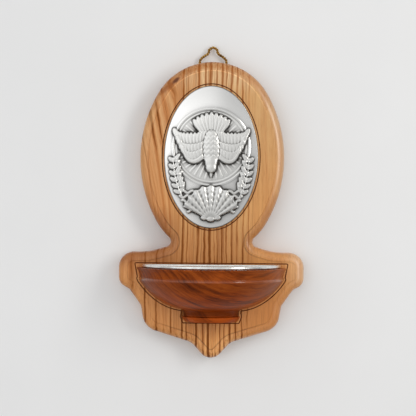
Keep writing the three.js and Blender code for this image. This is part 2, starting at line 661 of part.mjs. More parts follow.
function makeHanger() {
  const section = new THREE.Shape().absarc(0, 0, WIRE / 2, 0, 2 * Math.PI);
  const sweep = { steps: 64, curveSegments: 5, extrudePath: loopCurve() };
  const wire = solidOf(new THREE.ExtrudeGeometry(section, sweep).rotateX(Math.PI / 2));

  // The strap's section, with its fold about the origin: x runs to the front, y runs up
  const leafBack = eyeOuter - leafThickness;
  const meets = Math.asin(leafBack / eyeOuter);
  const strapSection = new THREE.Shape();
  strapSection.moveTo(eyeOuter, -STRAP_LENGTH);
  strapSection.lineTo(eyeOuter, 0);
  strapSection.absarc(0, 0, eyeOuter, 0, 1.5 * Math.PI + meets);
  strapSection.lineTo(leafBack, -STRAP_LENGTH);
  strapSection.closePath();
  strapSection.holes.push(new THREE.Path().absarc(0, 0, eyeInner, 0, 2 * Math.PI, true));
  const plain = { depth: STRAP_WIDTH, bevelEnabled: false, curveSegments: 14 };
  const upright = new THREE.Matrix4().makeBasis(
    new THREE.Vector3(0, -1, 0), new THREE.Vector3(0, 0, 1), new THREE.Vector3(-1, 0, 0));
  const folded = new THREE.ExtrudeGeometry(strapSection, plain).applyMatrix4(upright);
  let strap = solidOf(folded.translate(STRAP_WIDTH / 2, 0, 0));
  for (const { x } of nailPlaces) strap = strap.subtract(nailHole(x).translate([0, hingeDepth, -hingeZ]));

  return groupAt(
    0, -hingeDepth, hingeZ,
    piece("hanger_strap", strap, brass),
    piece("hanger_loop", wire, brass),
  );
}

function makeNails() {
  return nailPlaces.map(({ name, x }) => piece(name, driven(nailProfile(), x, nailZ), brass));
}

const stoup = new THREE.Group();
stoup.name = "holy_water_stoup";
stoup.add(makeBoard(), makePlaque(), makeBowl(), ...makeScrews(), makeHanger(), ...makeNails());

export default stoup;
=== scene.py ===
"""Looks of a wall-hung holy water stoup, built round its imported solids.

Lengths are millimetres in the part's own frame: +X to the viewer's right, +Z up, the wall at y = 0 and the
front towards -Y. Flat outlines are complex numbers x + iz. Meshes are scaled to metres when they are made.
"""

import cmath
import math

import bmesh
import bpy
import numpy as np
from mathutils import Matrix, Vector


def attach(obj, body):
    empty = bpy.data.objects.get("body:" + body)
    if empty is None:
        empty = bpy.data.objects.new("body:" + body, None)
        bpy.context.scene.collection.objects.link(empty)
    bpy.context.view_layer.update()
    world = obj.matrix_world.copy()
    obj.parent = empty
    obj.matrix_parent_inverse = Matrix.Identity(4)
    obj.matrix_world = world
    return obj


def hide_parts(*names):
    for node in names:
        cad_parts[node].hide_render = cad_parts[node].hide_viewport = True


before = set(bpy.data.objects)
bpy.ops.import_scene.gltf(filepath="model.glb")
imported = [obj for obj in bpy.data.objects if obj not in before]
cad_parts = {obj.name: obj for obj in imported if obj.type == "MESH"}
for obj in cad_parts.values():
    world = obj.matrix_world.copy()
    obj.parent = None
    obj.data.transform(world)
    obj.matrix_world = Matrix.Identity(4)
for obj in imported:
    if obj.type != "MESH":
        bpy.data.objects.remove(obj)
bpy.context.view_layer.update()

MM = 0.001

# Board
BOARD_THICKNESS = 15
EDGE_ROUND = 5
EDGE_STEP = 0.5
STEP_SLOPE = 0.2
BROW_EASE = 0.3
BACK_CHAMFER = 0.8
CHAMFER_KNEE = (0.25, 0.3)
BACK_LAND = 0.4
OVAL_HALF_WIDTH = 42.7
OVAL_HALF_HEIGHT = 57
OVAL_END_RADIUS = 37.5
NECK_FILLET = 3.3
SHOULDER_SLOPE = math.radians(17.4)
SHOULDER = 36.8 - 55.9j
SHOULDER_SWEEP = 40
EAR_HALF_WIDTH = 54.8
EAR_TOP_FILLET = 8.9
EAR_BOTTOM_Z = -74.6
EAR_BOTTOM_FILLET = 6.3

# Corners of the board below its ears: place, radius
NOTCH = (48.5 - 77.9j, 2)
FLANK = (41.6 - 87.6j, 5)
LOBE = (39.4 - 100.6j, 10.8)
TIP_NOTCH = (11.5 - 109.4j, 7)
TIP = (-122.1j, 7.4)

# Engraved lines
GROOVE_WIDTH = 0.62
GROOVE_DEPTH = 0.5
LINE_GAP = 1.2
BOWL_LINE_RISE = 0.4

# Plaque
PLAQUE_CENTRE = -0.7 + 0.4j
PLAQUE_HALF_WIDTH = 27.7
PLAQUE_HALF_HEIGHT = 42
PLAQUE_RIM = 1.2
PLAQUE_CORNER = 0.7
PLAQUE_CROWN = 0.5
FOIL = 0.45

# Bowl and cup: radii from the axis, levels from the rim
BOWL_RIM_Z = -64.7
BOWL_RADIUS = 44
RIM_EASE = 0.6
WAIST_RADIUS = 42.4
WAIST_LEVEL = -5.7
BEAD_RADIUS = 42.8
BEAD_HALF = 1.1
BEAD_TURN = math.radians(50)
BODY_DEPTH = 24.5
BODY_TALL = 60
BODY_CENTRE = 14.9 + (BODY_TALL - BODY_DEPTH) * 1j
NECK_RADIUS = 16.4
NECK_COVE = 2.6
NECK_HEIGHT = 4.2
FOOT_RADIUS = 16.9
FOOT_GROOVE = 0.6
FOOT_HEIGHT = 3.3
BASE_RADIUS = 15.4
RIM_WALL = 4.7
BODY_WALL = 4.1
BOWL_BACK_WALL = 3.5
CUP_SHEET = 0.8
CUP_CENTRE = 14.9 + 4.6j
CUP_UPRIGHT = 0.8
LIP_WIDTH = 2.8
LIP_HEIGHT = 1.9
LIP_SQUARENESS = 0.55
LIP_START = -1.7
LIP_END = math.pi - 0.15
CUP_CLEARANCE = 0.3

# Hanger, its strap, and the fasteners
WIRE = 1.7
HINGE_BELOW = 9.5
LOOP_HALF_WIDTH = 7.8
LOOP_SHOULDER_ABOVE = 3.3
LOOP_WAIST_HALF = 2.9
LOOP_WAIST_ABOVE = 5.9
LOOP_TOP_ABOVE = 9.4
LOOP_STEPS = 760
TWIST_PITCH = 2.8
STRAND_STEPS = 10
STRAP_SHEET = 0.5
STRAP_WIDTH = 8
STRAP_LENGTH = 8.5
STRAP_PLAY = 0.15
STRAP_EDGE = 0.12
NAIL_X = 2.1
NAIL_BELOW = 5.4
NAIL_SHANK = 1.2
NAIL_HEAD = 2.8
NAIL_HEAD_HEIGHT = 0.7
NAIL_LENGTH = 8
NAIL_POINT = 0.1
POCKET_SPARE = 0.3
POCKET_MARGIN = 1.35
POCKET_FOOT = 1.5
POCKET_CORNER = 3
SCREW_X = 8.5
SCREW_HEAD = 6.4
SCREW_SHANK = 3.4
SCREW_LENGTH = 24
SCREW_TIP = 4
SCREW_POINT = 0.2
SCREW_SINK = 0.3
SCREW_LAND = 0.001
RECESS_WING = 1.9
RECESS_THICK = 0.42
RECESS_DEPTH = 1.5
RECESS_MOUTH = 1.25
RECESS_FLOOR = 0.5
RECESS_RISE = 0.4

# Fits, and how finely curves are drawn
SEAT_GAP = 0.1
HOLE_CLEARANCE = 0.3
OVERSHOOT = 2
CHORD_ERROR = 0.005
LARGEST_SAG = 0.2
LEAST_MITRE = 0.5
ROUND_STEPS = 12
HALF_TURN_STEPS = 96
SMALL_STEPS = 32
SHARP_ANGLE = math.radians(32)

# Sizes that follow from the others
BEAD_LEVEL = WAIST_LEVEL - BEAD_HALF
BEAD_CENTRE = BEAD_RADIUS - BEAD_HALF + BEAD_LEVEL * 1j
BODY_TOP = BEAD_CENTRE + cmath.rect(BEAD_HALF, -BEAD_TURN)
BODY_HEAD = math.asin((BODY_TOP.imag - BODY_CENTRE.imag) / BODY_TALL)
BODY_WIDE = (BODY_TOP.real - BODY_CENTRE.real) / math.cos(BODY_HEAD)
COVE_ANGLE = -math.acos((NECK_RADIUS + NECK_COVE - BODY_CENTRE.real) / BODY_WIDE)
NECK_TOP = BODY_CENTRE.imag + BODY_TALL * math.sin(COVE_ANGLE)
FOOT_TOP = NECK_TOP - NECK_HEIGHT
BASE_LEVEL = FOOT_TOP - FOOT_HEIGHT
CUP_RADIUS = BOWL_RADIUS - RIM_WALL - CUP_CLEARANCE
CUP_TALL = CUP_CENTRE.imag + BODY_DEPTH - BODY_WALL - CUP_CLEARANCE
CUP_TURN = math.asin((CUP_CENTRE.imag + CUP_UPRIGHT) / CUP_TALL)
CUP_WIDE = (CUP_RADIUS - CUP_CENTRE.real) / math.cos(CUP_TURN)
LIP_TOP = SEAT_GAP + LIP_HEIGHT
EYE_INNER = WIRE / 2 + STRAP_PLAY
EYE_OUTER = EYE_INNER + STRAP_SHEET
HINGE_Z = OVAL_HALF_HEIGHT - HINGE_BELOW
HINGE_DEPTH = POCKET_SPARE + EYE_OUTER
POCKET_DEPTH = HINGE_DEPTH + EYE_OUTER + SEAT_GAP
NAIL_Z = HINGE_Z - NAIL_BELOW
NAIL_SEAT = POCKET_DEPTH - 2 * STRAP_SHEET - 2 * SEAT_GAP
SCREW_Z = BOWL_RIM_Z + NECK_TOP - NECK_HEIGHT / 2


# Outlines

def arc(centre, radius, start, end):
    step = 2 * math.acos(1 - min(CHORD_ERROR / radius, LARGEST_SAG))
    count = max(3, math.ceil(abs(end - start) / step))
    return [centre + cmath.rect(radius, turn) for turn in np.linspace(start, end, count + 1)]


def unit(direction):
    return direction / abs(direction)


def mirrored(points):
    return [-p.conjugate() for p in reversed(points)]


def mirrored_corners(corners):
    return [(-p.conjugate(), radius) for p, radius in reversed(corners)]


def rounded(corners):
    """A chain of (point, radius) corners with each corner rounded, or left plain where its radius is 0."""
    points = [corners[0][0]]
    for (before, _), (point, radius), (after, _) in zip(corners, corners[1:], corners[2:]):
        if not radius:
            points.append(point)
            continue
        into, out = unit(point - before), unit(after - point)
        turn = cmath.phase(out / into)
        start = point - into * radius * math.tan(abs(turn) / 2)
        centre = start + into * 1j * math.copysign(radius, turn)
        angle = cmath.phase(start - centre)
        points += arc(centre, radius, angle, angle + turn)
    return points + [corners[-1][0]]


def without_repeats(points, least=0.02):
    return [p for p, before in zip(points, points[-1:] + points[:-1]) if abs(p - before) > least]


def grown(outline, distance):
    """A closed anticlockwise outline moved along its own normals, outwards for a positive distance."""
    moved = []
    for before, point, after in zip(outline[-1:] + outline[:-1], outline, outline[1:] + outline[:1]):
        into, out = unit(point - before), unit(after - point)
        normal = -1j * unit(into + out)
        mitre = max(LEAST_MITRE, (normal * (1j * into.conjugate())).real)
        moved.append(point + normal * distance / mitre)
    return moved


def board_outline():
    """An oval of four arcs on a neck, shoulders with round ears, a stepped apron and a tip."""
    rise = OVAL_HALF_HEIGHT - OVAL_END_RADIUS
    squares = OVAL_HALF_WIDTH**2 + rise**2 - OVAL_END_RADIUS**2
    side_radius = squares / (2 * (OVAL_HALF_WIDTH - OVAL_END_RADIUS))
    side_centre = OVAL_HALF_WIDTH - side_radius
    joint = cmath.phase(1j * rise - side_centre)
    low_centre = -1j * rise

    along = cmath.rect(1, -SHOULDER_SLOPE)
    reach = SHOULDER + along * 1j * NECK_FILLET - low_centre
    forward = (reach * along.conjugate()).real
    run = -forward + math.sqrt(forward**2 - abs(reach) ** 2 + (OVAL_END_RADIUS + NECK_FILLET) ** 2)
    neck_centre = low_centre + reach + along * run
    neck_angle = cmath.phase(neck_centre - low_centre)

    upper_right = [
        *arc(1j * rise, OVAL_END_RADIUS, math.pi / 2, joint),
        *arc(side_centre, side_radius, joint, -joint),
        *arc(low_centre, OVAL_END_RADIUS, -joint, neck_angle),
        *arc(neck_centre, NECK_FILLET, neck_angle + math.pi, 1.5 * math.pi - SHOULDER_SLOPE),
    ]
    right = [
        (SHOULDER, SHOULDER_SWEEP),
        (EAR_HALF_WIDTH + SHOULDER.imag * 1j, EAR_TOP_FILLET),
        (EAR_HALF_WIDTH + EAR_BOTTOM_Z * 1j, EAR_BOTTOM_FILLET),
        NOTCH,
        FLANK,
        LOBE,
        TIP_NOTCH,
    ]
    upper_left = mirrored(upper_right)
    lower = rounded([(upper_right[-1], 0), *right, TIP, *mirrored_corners(right), (upper_left[0], 0)])
    return without_repeats(upper_right + lower + upper_left)[::-1]


def oval_curve(centre, wide, tall, gap, start, end, count=40):
    """Part of an ellipse between two turns, moved outwards by a gap."""
    points = []
    for turn in np.linspace(start, end, count):
        out = unit(complex(math.cos(turn) / wide, math.sin(turn) / tall))
        points.append(centre + complex(wide * math.cos(turn), tall * math.sin(turn)) + gap * out)
    return points


def body_curve(gap, start, end):
    return oval_curve(BODY_CENTRE, BODY_WIDE, BODY_TALL, gap, start, end)


def bowl_line():
    """The line engraved round the bowl."""
    end = -math.acos((NECK_RADIUS + LINE_GAP - BODY_CENTRE.real) / BODY_WIDE)
    top = (LIP_TOP + BOWL_LINE_RISE) * 1j
    ease = GROOVE_WIDTH
    right = [
        (BOWL_RADIUS + LINE_GAP + top, ease),
        (WAIST_RADIUS + LINE_GAP + WAIST_LEVEL * 1j, ease),
        (BEAD_RADIUS + LINE_GAP + BEAD_LEVEL * 1j, ease),
        *((p, 0) for p in body_curve(LINE_GAP, BODY_HEAD, end)),
        (NECK_RADIUS + LINE_GAP + (NECK_TOP - NECK_COVE) * 1j, 0),
        (FOOT_RADIUS + LINE_GAP + (FOOT_TOP - FOOT_GROOVE) * 1j, ease),
        (BASE_RADIUS + LINE_GAP + (BASE_LEVEL - LINE_GAP) * 1j, ease),
    ]
    whole = rounded([(top, 0), *right, *mirrored_corners(right), (top, 0)])
    return [p + BOWL_RIM_Z * 1j for p in without_repeats(whole[:-1], least=0.1)[::-1]]


def circle(radius, count=SMALL_STEPS):
    return [cmath.rect(radius, 2 * math.pi * k / count) for k in range(count)]


# Meshes

class Skin:
    """Points and faces of a mesh in the making. Each face keeps the number of its material."""

    def __init__(self):
        self.points = []
        self.faces = []
        self.finishes = []

    def ring(self, points):
        first = len(self.points)
        self.points += points
        return list(range(first, len(self.points)))

    def face(self, corners, finish=0):
        self.faces.append(tuple(corners))
        self.finishes.append(finish)

    def band(self, lower, upper, finish=0, closed=True):
        count = len(lower)
        for i in range(count if closed else count - 1):
            j = (i + 1) % count
            self.face((lower[i], lower[j], upper[j], upper[i]), finish)

    def loft(self, rings, finish=0, capped=True):
        """Bands through closed rings of equal count, with a face on each end, or joined end to end."""
        numbered = [self.ring(r) for r in rings]
        for lower, upper in zip(numbered, numbered[1:]):
            self.band(lower, upper, finish)
        if capped:
            self.face(reversed(numbered[0]), finish)
            self.face(numbered[-1], finish)
        else:
            self.band(numbered[-1], numbered[0], finish)

    def made(self, name, materials, sharp=SHARP_ANGLE):
        mesh = bpy.data.meshes.new(name)
        mesh.from_pydata([tuple(c * MM for c in p) for p in self.points], [], self.faces)
        for material in materials:
            mesh.materials.append(material)
        mesh.polygons.foreach_set("material_index", self.finishes)
        work = bmesh.new()
        work.from_mesh(mesh)
        bmesh.ops.recalc_face_normals(work, faces=work.faces)
        work.to_mesh(mesh)
        work.free()
        shade(mesh, sharp)
        return added(name, mesh)


def added(name, data, place=(0, 0, 0)):
    obj = bpy.data.objects.new(name, data)
    bpy.context.scene.collection.objects.link(obj)
    obj.location = Vector(place) * MM
    return obj


def shade(mesh, sharp):
    mesh.shade_smooth()
    mesh.set_sharp_from_angle(angle=sharp)


def cut(obj, cutter):
    """Takes the cutter out of a piece. The cut faces keep the cutter's material."""
    modifier = obj.modifiers.new("cut", "BOOLEAN")
    modifier.operation = "DIFFERENCE"
    modifier.solver = "EXACT"
    modifier.material_mode = "TRANSFER"
    modifier.object = cutter
    graph = bpy.context.evaluated_depsgraph_get()
    mesh = bpy.data.meshes.new_from_object(obj.evaluated_get(graph))
    obj.modifiers.clear()
    obj.data = mesh
    shade(mesh, SHARP_ANGLE)
    bpy.data.objects.remove(cutter)


def dress(obj, node, body):
    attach(obj, body)
    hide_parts(node)


def lofted(name, rings, material, sharp=SHARP_ANGLE):
    skin = Skin()
    skin.loft(rings)
    return skin.made(name, [material], sharp)


def flat_ring(outline, y):
    return [(p.real, y, p.imag) for p in outline]


def turned(profile, x, z):
    """Rings of (radius, depth) about a line along y, for what is driven in from the back."""
    return [[(x + p.real, -depth, z - p.imag) for p in circle(radius)] for radius, depth in profile]


def half_ring(point, back):
    """A circle of the bowl or the cup, given by radius and level, cut off at a distance before the board."""
    radius, level = point.real, point.imag
    start = math.asin(min(1, back / radius))
    turns = np.linspace(start, math.pi - start, HALF_TURN_STEPS + 1)
    return [
        (radius * math.cos(t), -BOARD_THICKNESS - radius * math.sin(t), BOWL_RIM_Z + level) for t in turns
    ]


# Materials

def srgb(red, green, blue):
    """A colour written as it looks on screen, 0 to 255."""
    scaled = [c / 255 for c in (red, green, blue)]
    return tuple(c / 12.92 if c <= 0.04045 else ((c + 0.055) / 1.055) ** 2.4 for c in scaled) + (1,)


class Graph:
    """The nodes of a material or a world in the making."""

    def __init__(self, owner):
        owner.use_nodes = True
        self.owner = owner
        self.tree = owner.node_tree
        self.tree.nodes.clear()

    def add(self, kind, inputs=None, **settings):
        node = self.tree.nodes.new("ShaderNode" + kind)
        for key, value in settings.items():
            setattr(node, key, value)
        for key, value in (inputs or {}).items():
            if isinstance(value, bpy.types.NodeSocket):
                self.tree.links.new(value, node.inputs[key])
            else:
                node.inputs[key].default_value = value
        return node

    def math(self, operation, a, b=0.0, c=0.0):
        return self.add("Math", {0: a, 1: b, 2: c}, operation=operation).outputs[0]

    def times(self, product, *factors):
        for factor in factors:
            product = self.math("MULTIPLY", product, factor)
        return product

    def scaled(self, value, factor, offset):
        return self.math("MULTIPLY_ADD", value, factor, offset)

    def vector(self, operation, a, b=(0, 0, 0)):
        node = self.add("VectorMath", {0: a, 1: b}, operation=operation)
        return node.outputs["Value" if operation in ("DOT_PRODUCT", "LENGTH") else "Vector"]

    def ranged(self, value, start, end, low=0.0, high=1.0, kind="LINEAR"):
        """Goes from low to high as the value goes from start to end."""
        limits = {"Value": value, "From Min": start, "From Max": end, "To Min": low, "To Max": high}
        return self.add("MapRange", limits, interpolation_type=kind).outputs[0]

    def eased(self, value, start, end, low=0.0, high=1.0):
        return self.ranged(value, start, end, low, high, "SMOOTHSTEP")

    def zone(self, *limits):
        """The share of a region with soft borders. Each limit is what eased takes."""
        return self.times(*(self.eased(*limit) for limit in limits))

    def mix(self, share, a, b, blend="MIX"):
        """Two colours mixed. Each is a socket, or red, green and blue as they look on screen."""
        a, b = (srgb(*colour) if isinstance(colour, tuple) else colour for colour in (a, b))
        return self.add("Mix", {0: share, 6: a, 7: b}, data_type="RGBA", blend_type=blend).outputs[2]

    def laid(self, base, layers):
        """A base colour with other colours laid over it in turn, each by its share."""
        for share, colour in layers:
            base = self.mix(share, base, colour)
        return base

    def ramp(self, value, stops):
        """A grey level that goes through stops of (place, level)."""
        node = self.add("ValToRGB", {0: value})
        elements = node.color_ramp.elements
        while len(elements) < len(stops):
            elements.new(0.5)
        for element, (place, level) in zip(elements, stops):
            element.position = place
            element.color = (level, level, level, 1)
        return node.outputs[0]

    def place(self):
        """The surface point in the piece's own frame, in millimetres."""
        return self.vector("MULTIPLY", self.add("TexCoord").outputs["Object"], (1 / MM, 1 / MM, 1 / MM))

    def axes(self, point):
        return self.add("SeparateXYZ", {0: point}).outputs

    def joined(self, x, y, z):
        return self.add("CombineXYZ", {0: x, 1: y, 2: z}).outputs[0]

    def stretched(self, point, scale, turn=0.0):
        """The point turned about y and scaled."""
        placed = self.add("Mapping", {"Vector": point, "Rotation": (0, turn, 0)}).outputs[0]
        return self.vector("MULTIPLY", placed, scale)

    def noise(self, point, detail=3.0, roughness=0.55, scale=1.0):
        settings = {"Vector": point, "Scale": scale, "Detail": detail, "Roughness": roughness}
        return self.add("TexNoise", settings).outputs[0]

    def grain(self, point, scale, detail=3.0, roughness=0.55):
        """Noise that is drawn out along an axis where its scale is small."""
        return self.noise(self.stretched(point, scale), detail, roughness)

    def bump(self, height, distance, strength):
        settings = {"Height": height, "Distance": distance * MM, "Strength": strength}
        return self.add("Bump", settings).outputs[0]

    def close(self, shader, kind="Material"):
        self.add("Output" + kind, {0: shader.outputs[0]})
        return self.owner

    def finish(self, inputs):
        return self.close(self.add("BsdfPrincipled", inputs))


def material_graph(name):
    return Graph(bpy.data.materials.new(name))


# Where the board's face gives way to its round edge, along y
ROUND_EDGE = (0.4 - BOARD_THICKNESS, 0.7 - BOARD_THICKNESS)

# Dark wood beside a knot of the board, and the knot: place, share per millimetre, strength, colour
KNOT_TURN = math.radians(40)
KNOT_PATCHES = [
    ((-27.0, 0, 41.2), (0.11, 0, 0.5), 0.55, (150, 84, 38)),
    ((-21.8, 0, 45.6), (0.27, 0, 0.64), 0.9, (96, 44, 14)),
]

# Dark grain lines of the board, in two lists because a ramp holds 32 stops: place, half width, strength
GRAIN_SPAN = 60
GRAIN_SPREAD = 0.95
GRAIN_LINES_LEFT = [
    (-46.8, 2.6, 0.68), (-39.0, 1.0, 0.9), (-32.6, 1.3, 0.9), (-28.6, 1.2, 0.58), (-24.0, 1.2, 0.6),
    (-20.4, 1.1, 0.6), (-17.1, 1.3, 0.95), (-14.4, 1.0, 0.8), (-11.4, 0.8, 0.6), (-8.5, 1.3, 0.9),
]
GRAIN_LINES_RIGHT = [
    (-4.6, 1.2, 0.9), (-1.5, 1.7, 1.0), (1.0, 0.7, 0.7), (2.7, 0.9, 0.85), (5.6, 1.1, 0.9),
    (8.0, 0.9, 0.8), (11.2, 1.3, 0.9), (14.6, 1.2, 0.8), (18.2, 1.2, 0.75), (21.7, 1.0, 0.65),
]


def grain_stops(lines):
    stops = []
    for place, half, strength in lines:
        reach = half * GRAIN_SPREAD
        for offset, dark in ((-reach, 0), (0, strength), (reach, 0)):
            stops.append(((place + offset + GRAIN_SPAN) / (2 * GRAIN_SPAN), dark))
    return stops


def board_wood(name, low_painted_shade=1.0, top_painted_highlight=1.0):
    """Striped wood. The tones, when given, paint shade into the step round the face low down and a highlight
    into it at the top of the board.
    """
    g = material_graph(name)
    point = g.place()
    x, y, z = g.axes(point)
    aside = g.math("ABSOLUTE", x)

    # Lines run upright, lean at the left of the oval and wander a little everywhere
    lean = g.zone((x, -17, -30), (z, -58, -40))
    leaning = g.scaled(g.times(lean, 0.16), z, x)
    wander = g.grain(point, (0.05, 0.05, 0.016), 2)
    tremble = g.grain(point, (0.2, 0.2, 0.11), 2)
    across = g.math("ADD", leaning, g.scaled(wander, 3.4, g.scaled(tremble, 1, -2.2)))
    bent = g.joined(across, y, z)
    share_of_span = g.scaled(across, 0.5 / GRAIN_SPAN, 0.5)
    halves = (GRAIN_LINES_LEFT, GRAIN_LINES_RIGHT)
    ridges = g.math("MAXIMUM", *(g.ramp(share_of_span, grain_stops(half)) for half in halves))
    faded = g.scaled(lean, g.eased(z, 26, -2, 0.18, -0.22), ridges)
    uneven = g.math("ADD", g.grain(bent, (0.5, 0.3, 0.045)), faded)
    lines = g.eased(uneven, 0.94, 1.22)
    line_share = g.math("ADD", g.eased(z, 25, 48, 0.75, 0.65), g.eased(z, -92, -106, 0, 0.06))
    line_colour = g.mix(g.eased(z, 20, 46), (102, 46, 4), (140, 70, 14))
    halo = g.times(g.eased(uneven, 0.55, 1.1), g.eased(z, 25, 48, 0.6, 0.4))

    # Finer marks between the lines, and the knot
    streaks = g.ramp(g.grain(bent, (0.5, 0.25, 0.011), 6, 0.62), [(0.36, 1), (0.5, 0.4), (0.64, 0)])
    pores = g.ramp(g.grain(bent, (2.2, 1.2, 0.07), 3, 0.6), [(0.34, 1), (0.44, 0)])
    hairs = g.ramp(g.grain(bent, (1.4, 0.8, 0.012), 2), [(0.36, 1), (0.45, 0)])
    clouds = g.grain(bent, (0.05, 0.05, 0.02), 2)
    fibres = g.grain(bent, (5, 3, 0.12), 4, 0.7)
    knots = []
    for centre, stretch, strength, dark in KNOT_PATCHES:
        near = g.stretched(g.vector("SUBTRACT", point, centre), stretch, KNOT_TURN)
        knots.append((g.eased(g.vector("LENGTH", near), 1, 0.35, 0, strength), dark))

    # Parts of the board that are paler or darker: some in wood tone, others painted light and shade, as
    # marked
    edge_at_right = g.zone((y, *ROUND_EDGE), (x, 6, 30))
    # Painted light: the round edge at the left of the oval is made paler
    left_edge_light = g.zone((y, *ROUND_EDGE), (x, -24, -36, 0, 0.35))
    # Painted shade: the round edge at the top is darker than the face, in the colour on the next line
    top_edge_shade = g.zone((y, *ROUND_EDGE), (z, 22, 44, 0, 0.7))
    top_edge_shade_colour = g.mix(g.eased(x, -25, 25), (182, 124, 72), (200, 140, 86))
    oval_side = g.zone((z, -32, -4), (z, 44, 24))
    # Painted shade on the right round edge below the oval, where less light comes from below
    under_oval_shade = g.zone((z, -18, -32), (z, -54, -47, 0, 0.3))
    middle = g.zone((aside, 30, 18), (z, -58, -36, 0.1, 0.45))
    # Painted sheen: the face at the top of the board is made paler
    top = g.zone((z, 36, 48, 0, 0.6))
    # Painted highlight: a pale patch on the right ear, where the varnish's reflection is also raised
    ear_highlight = g.zone((x, 40, 52, 0, 0.6), (z, -78, -70))
    apron_right = g.zone((x, 10, 22, 0, 0.35), (z, -76, -86))
    # Painted light: the tip is made paler, lifting the shade below the bowl
    tip = g.zone((z, -102, -112, 0, 0.85))
    shadowed = g.zone((x, -14, -30), (z, -26, -40), (z, -68, -58, 0, 0.6))
    # Painted shade on the board's neck above the bowl, fading out to the right
    neck = g.zone((z, -34, -46, 0, 0.16), (z, -68, -60), (x, 30, 18))

    side = g.scaled(clouds, 0.6, g.eased(x, -36, 34, -0.3, 0.7))
    lower = g.mix(side, (228, 160, 96), (222, 154, 84))
    upper = g.mix(side, (226, 174, 120), (217, 171, 114))
    base = g.laid(g.mix(g.eased(z, -75, 45), lower, upper), [
        (middle, (228, 180, 118)),
        (top, (246, 214, 168)),
        (top_edge_shade, top_edge_shade_colour),
        (ear_highlight, (240, 196, 146)),
        (apron_right, (196, 114, 44)),
        (tip, (255, 188, 114)),
        (g.times(streaks, g.eased(x, 30, -36, 0.35, 0.75)), (188, 114, 54)),
        (g.times(pores, 0.4), (160, 88, 36)),
        (g.times(hairs, g.eased(aside, 30, 12, 0.2, 0.55)), (150, 84, 30)),
        (halo, (188, 112, 44)),
        (g.times(lines, line_share), line_colour),
        *knots,
        (shadowed, (150, 86, 42)),
        (g.times(edge_at_right, under_oval_shade), (150, 86, 42)),
        (neck, (128, 72, 30)),
        (g.times(left_edge_light, oval_side), (236, 184, 126)),
    ])
    colour = g.mix(1, base, g.ramp(fibres, [(0.3, 0.86), (0.7, 1.08)]), "MULTIPLY")
    # Painted shade on the step low down, except beside the bowl, and a painted highlight on it at the top
    if (low_painted_shade, top_painted_highlight) != (1, 1):
        beside_bowl = g.zone((z, -58, -64), (z, -102, -96, 0, 0.75))
        dark = g.times(g.eased(z, -28, -48, 0, 1 - low_painted_shade), g.math("SUBTRACT", 1, beside_bowl))
        painted_light_tone = g.times(g.math("SUBTRACT", 1, dark), g.eased(z, 20, 44, 1, top_painted_highlight))
        colour = g.mix(1, colour, painted_light_tone, "MULTIPLY")

    # Varnish lies thickest on the round edge at the right, and thin at the top and on the lines
    bare_lines = g.scaled(lines, -0.8, 1)
    varnish = g.zone((y, *ROUND_EDGE, 0.4, 1), (x, -34, 20, 0.3, 1), (z, 38, 52, 1, 0.3))
    lit = g.times(edge_at_right, g.math("MAXIMUM", oval_side, ear_highlight), g.eased(y, -8, -10.5))
    return g.finish({
        "Base Color": colour,
        "Roughness": g.ranged(fibres, 0, 1, 0.3, 0.46),
        "Specular IOR Level": g.times(bare_lines, 0.2),
        "Coat Weight": g.times(varnish, bare_lines),
        "Coat Roughness": g.scaled(edge_at_right, 0.25, 0.15),
        "Coat IOR": g.scaled(lit, 0.5, 1.5),
        "Normal": g.bump(fibres, 0.05, 0.35),
    })


def bowl_wood():
    """Dark wood in layers. The turning cuts them into streaks that fall to the right and flatten out."""
    g = material_graph("red_wood_grain")
    point = g.place()
    x, _, z = g.axes(point)
    level = g.math("SUBTRACT", z, BOWL_RIM_Z)

    def away_from(height):
        return g.math("ABSOLUTE", g.math("SUBTRACT", level, height))

    depth = g.vector("DOT_PRODUCT", point, (0.52, -0.8, 0.62))
    layer = g.scaled(g.grain(point, (0.05, 0.05, 0.05)), 5, depth)
    layered = g.joined(x, layer, z)
    figure = g.grain(layered, (0.03, 0.26, 0.03), 8, 0.74)
    bands = g.ramp(figure, [(0.34, 1), (0.45, 0.5), (0.52, 0.08), (0.62, 0)])
    pale = g.ramp(figure, [(0.5, 0), (0.7, 1)])
    clouds = g.ramp(g.grain(point, (0.05, 0.05, 0.07)), [(0.35, 0), (0.65, 1)])
    fibres = g.grain(layered, (0.3, 3, 2), 4, 0.7)
    foot = g.ranged(level, FOOT_TOP, FOOT_TOP - FOOT_GROOVE, 0, 0.2)
    # Painted shade in the cove of the neck under the body
    neck = g.ranged(away_from(NECK_TOP - NECK_HEIGHT / 2), 1.2, 2.3, 0.65, 0)
    bead = g.ranged(away_from(BEAD_LEVEL + 0.3), 0.4, 1, 1, 0)
    base = g.laid(g.mix(clouds, (160, 74, 22), (130, 54, 12)), [
        (g.times(pale, 0.55), (182, 96, 36)),
        (g.ranged(level, -11, -20, 0, 0.45), (188, 74, 4)),
        (bands, (74, 26, 7)),
        # Painted reflection of the lit board, lighter towards the bowl's right end
        (g.ranged(x, 14, 44, 0, 0.3), (206, 124, 66)),
        (foot, (196, 96, 38)),
        (neck, (64, 18, 0)),
    ])
    return g.finish({
        "Base Color": g.mix(1, base, g.ramp(fibres, [(0.3, 0.82), (0.7, 1.12)]), "MULTIPLY"),
        "Roughness": g.ranged(fibres, 0, 1, 0.3, 0.44),
        "Specular IOR Level": 0.12,
        "Specular Tint": (1.0, 0.75, 0.5, 1),
        "Coat Weight": bead,
        "Coat Roughness": 0.12,
        "Normal": g.bump(fibres, 0.04, 0.3),
    })


def burnt_wood():
    g = material_graph("burnt_line")
    return g.finish({
        "Base Color": g.mix(g.grain(g.place(), (1.2, 1.2, 0.5)), (98, 48, 20), (134, 72, 34)),
        "Roughness": 0.7,
        "Specular IOR Level": 0.2,
    })


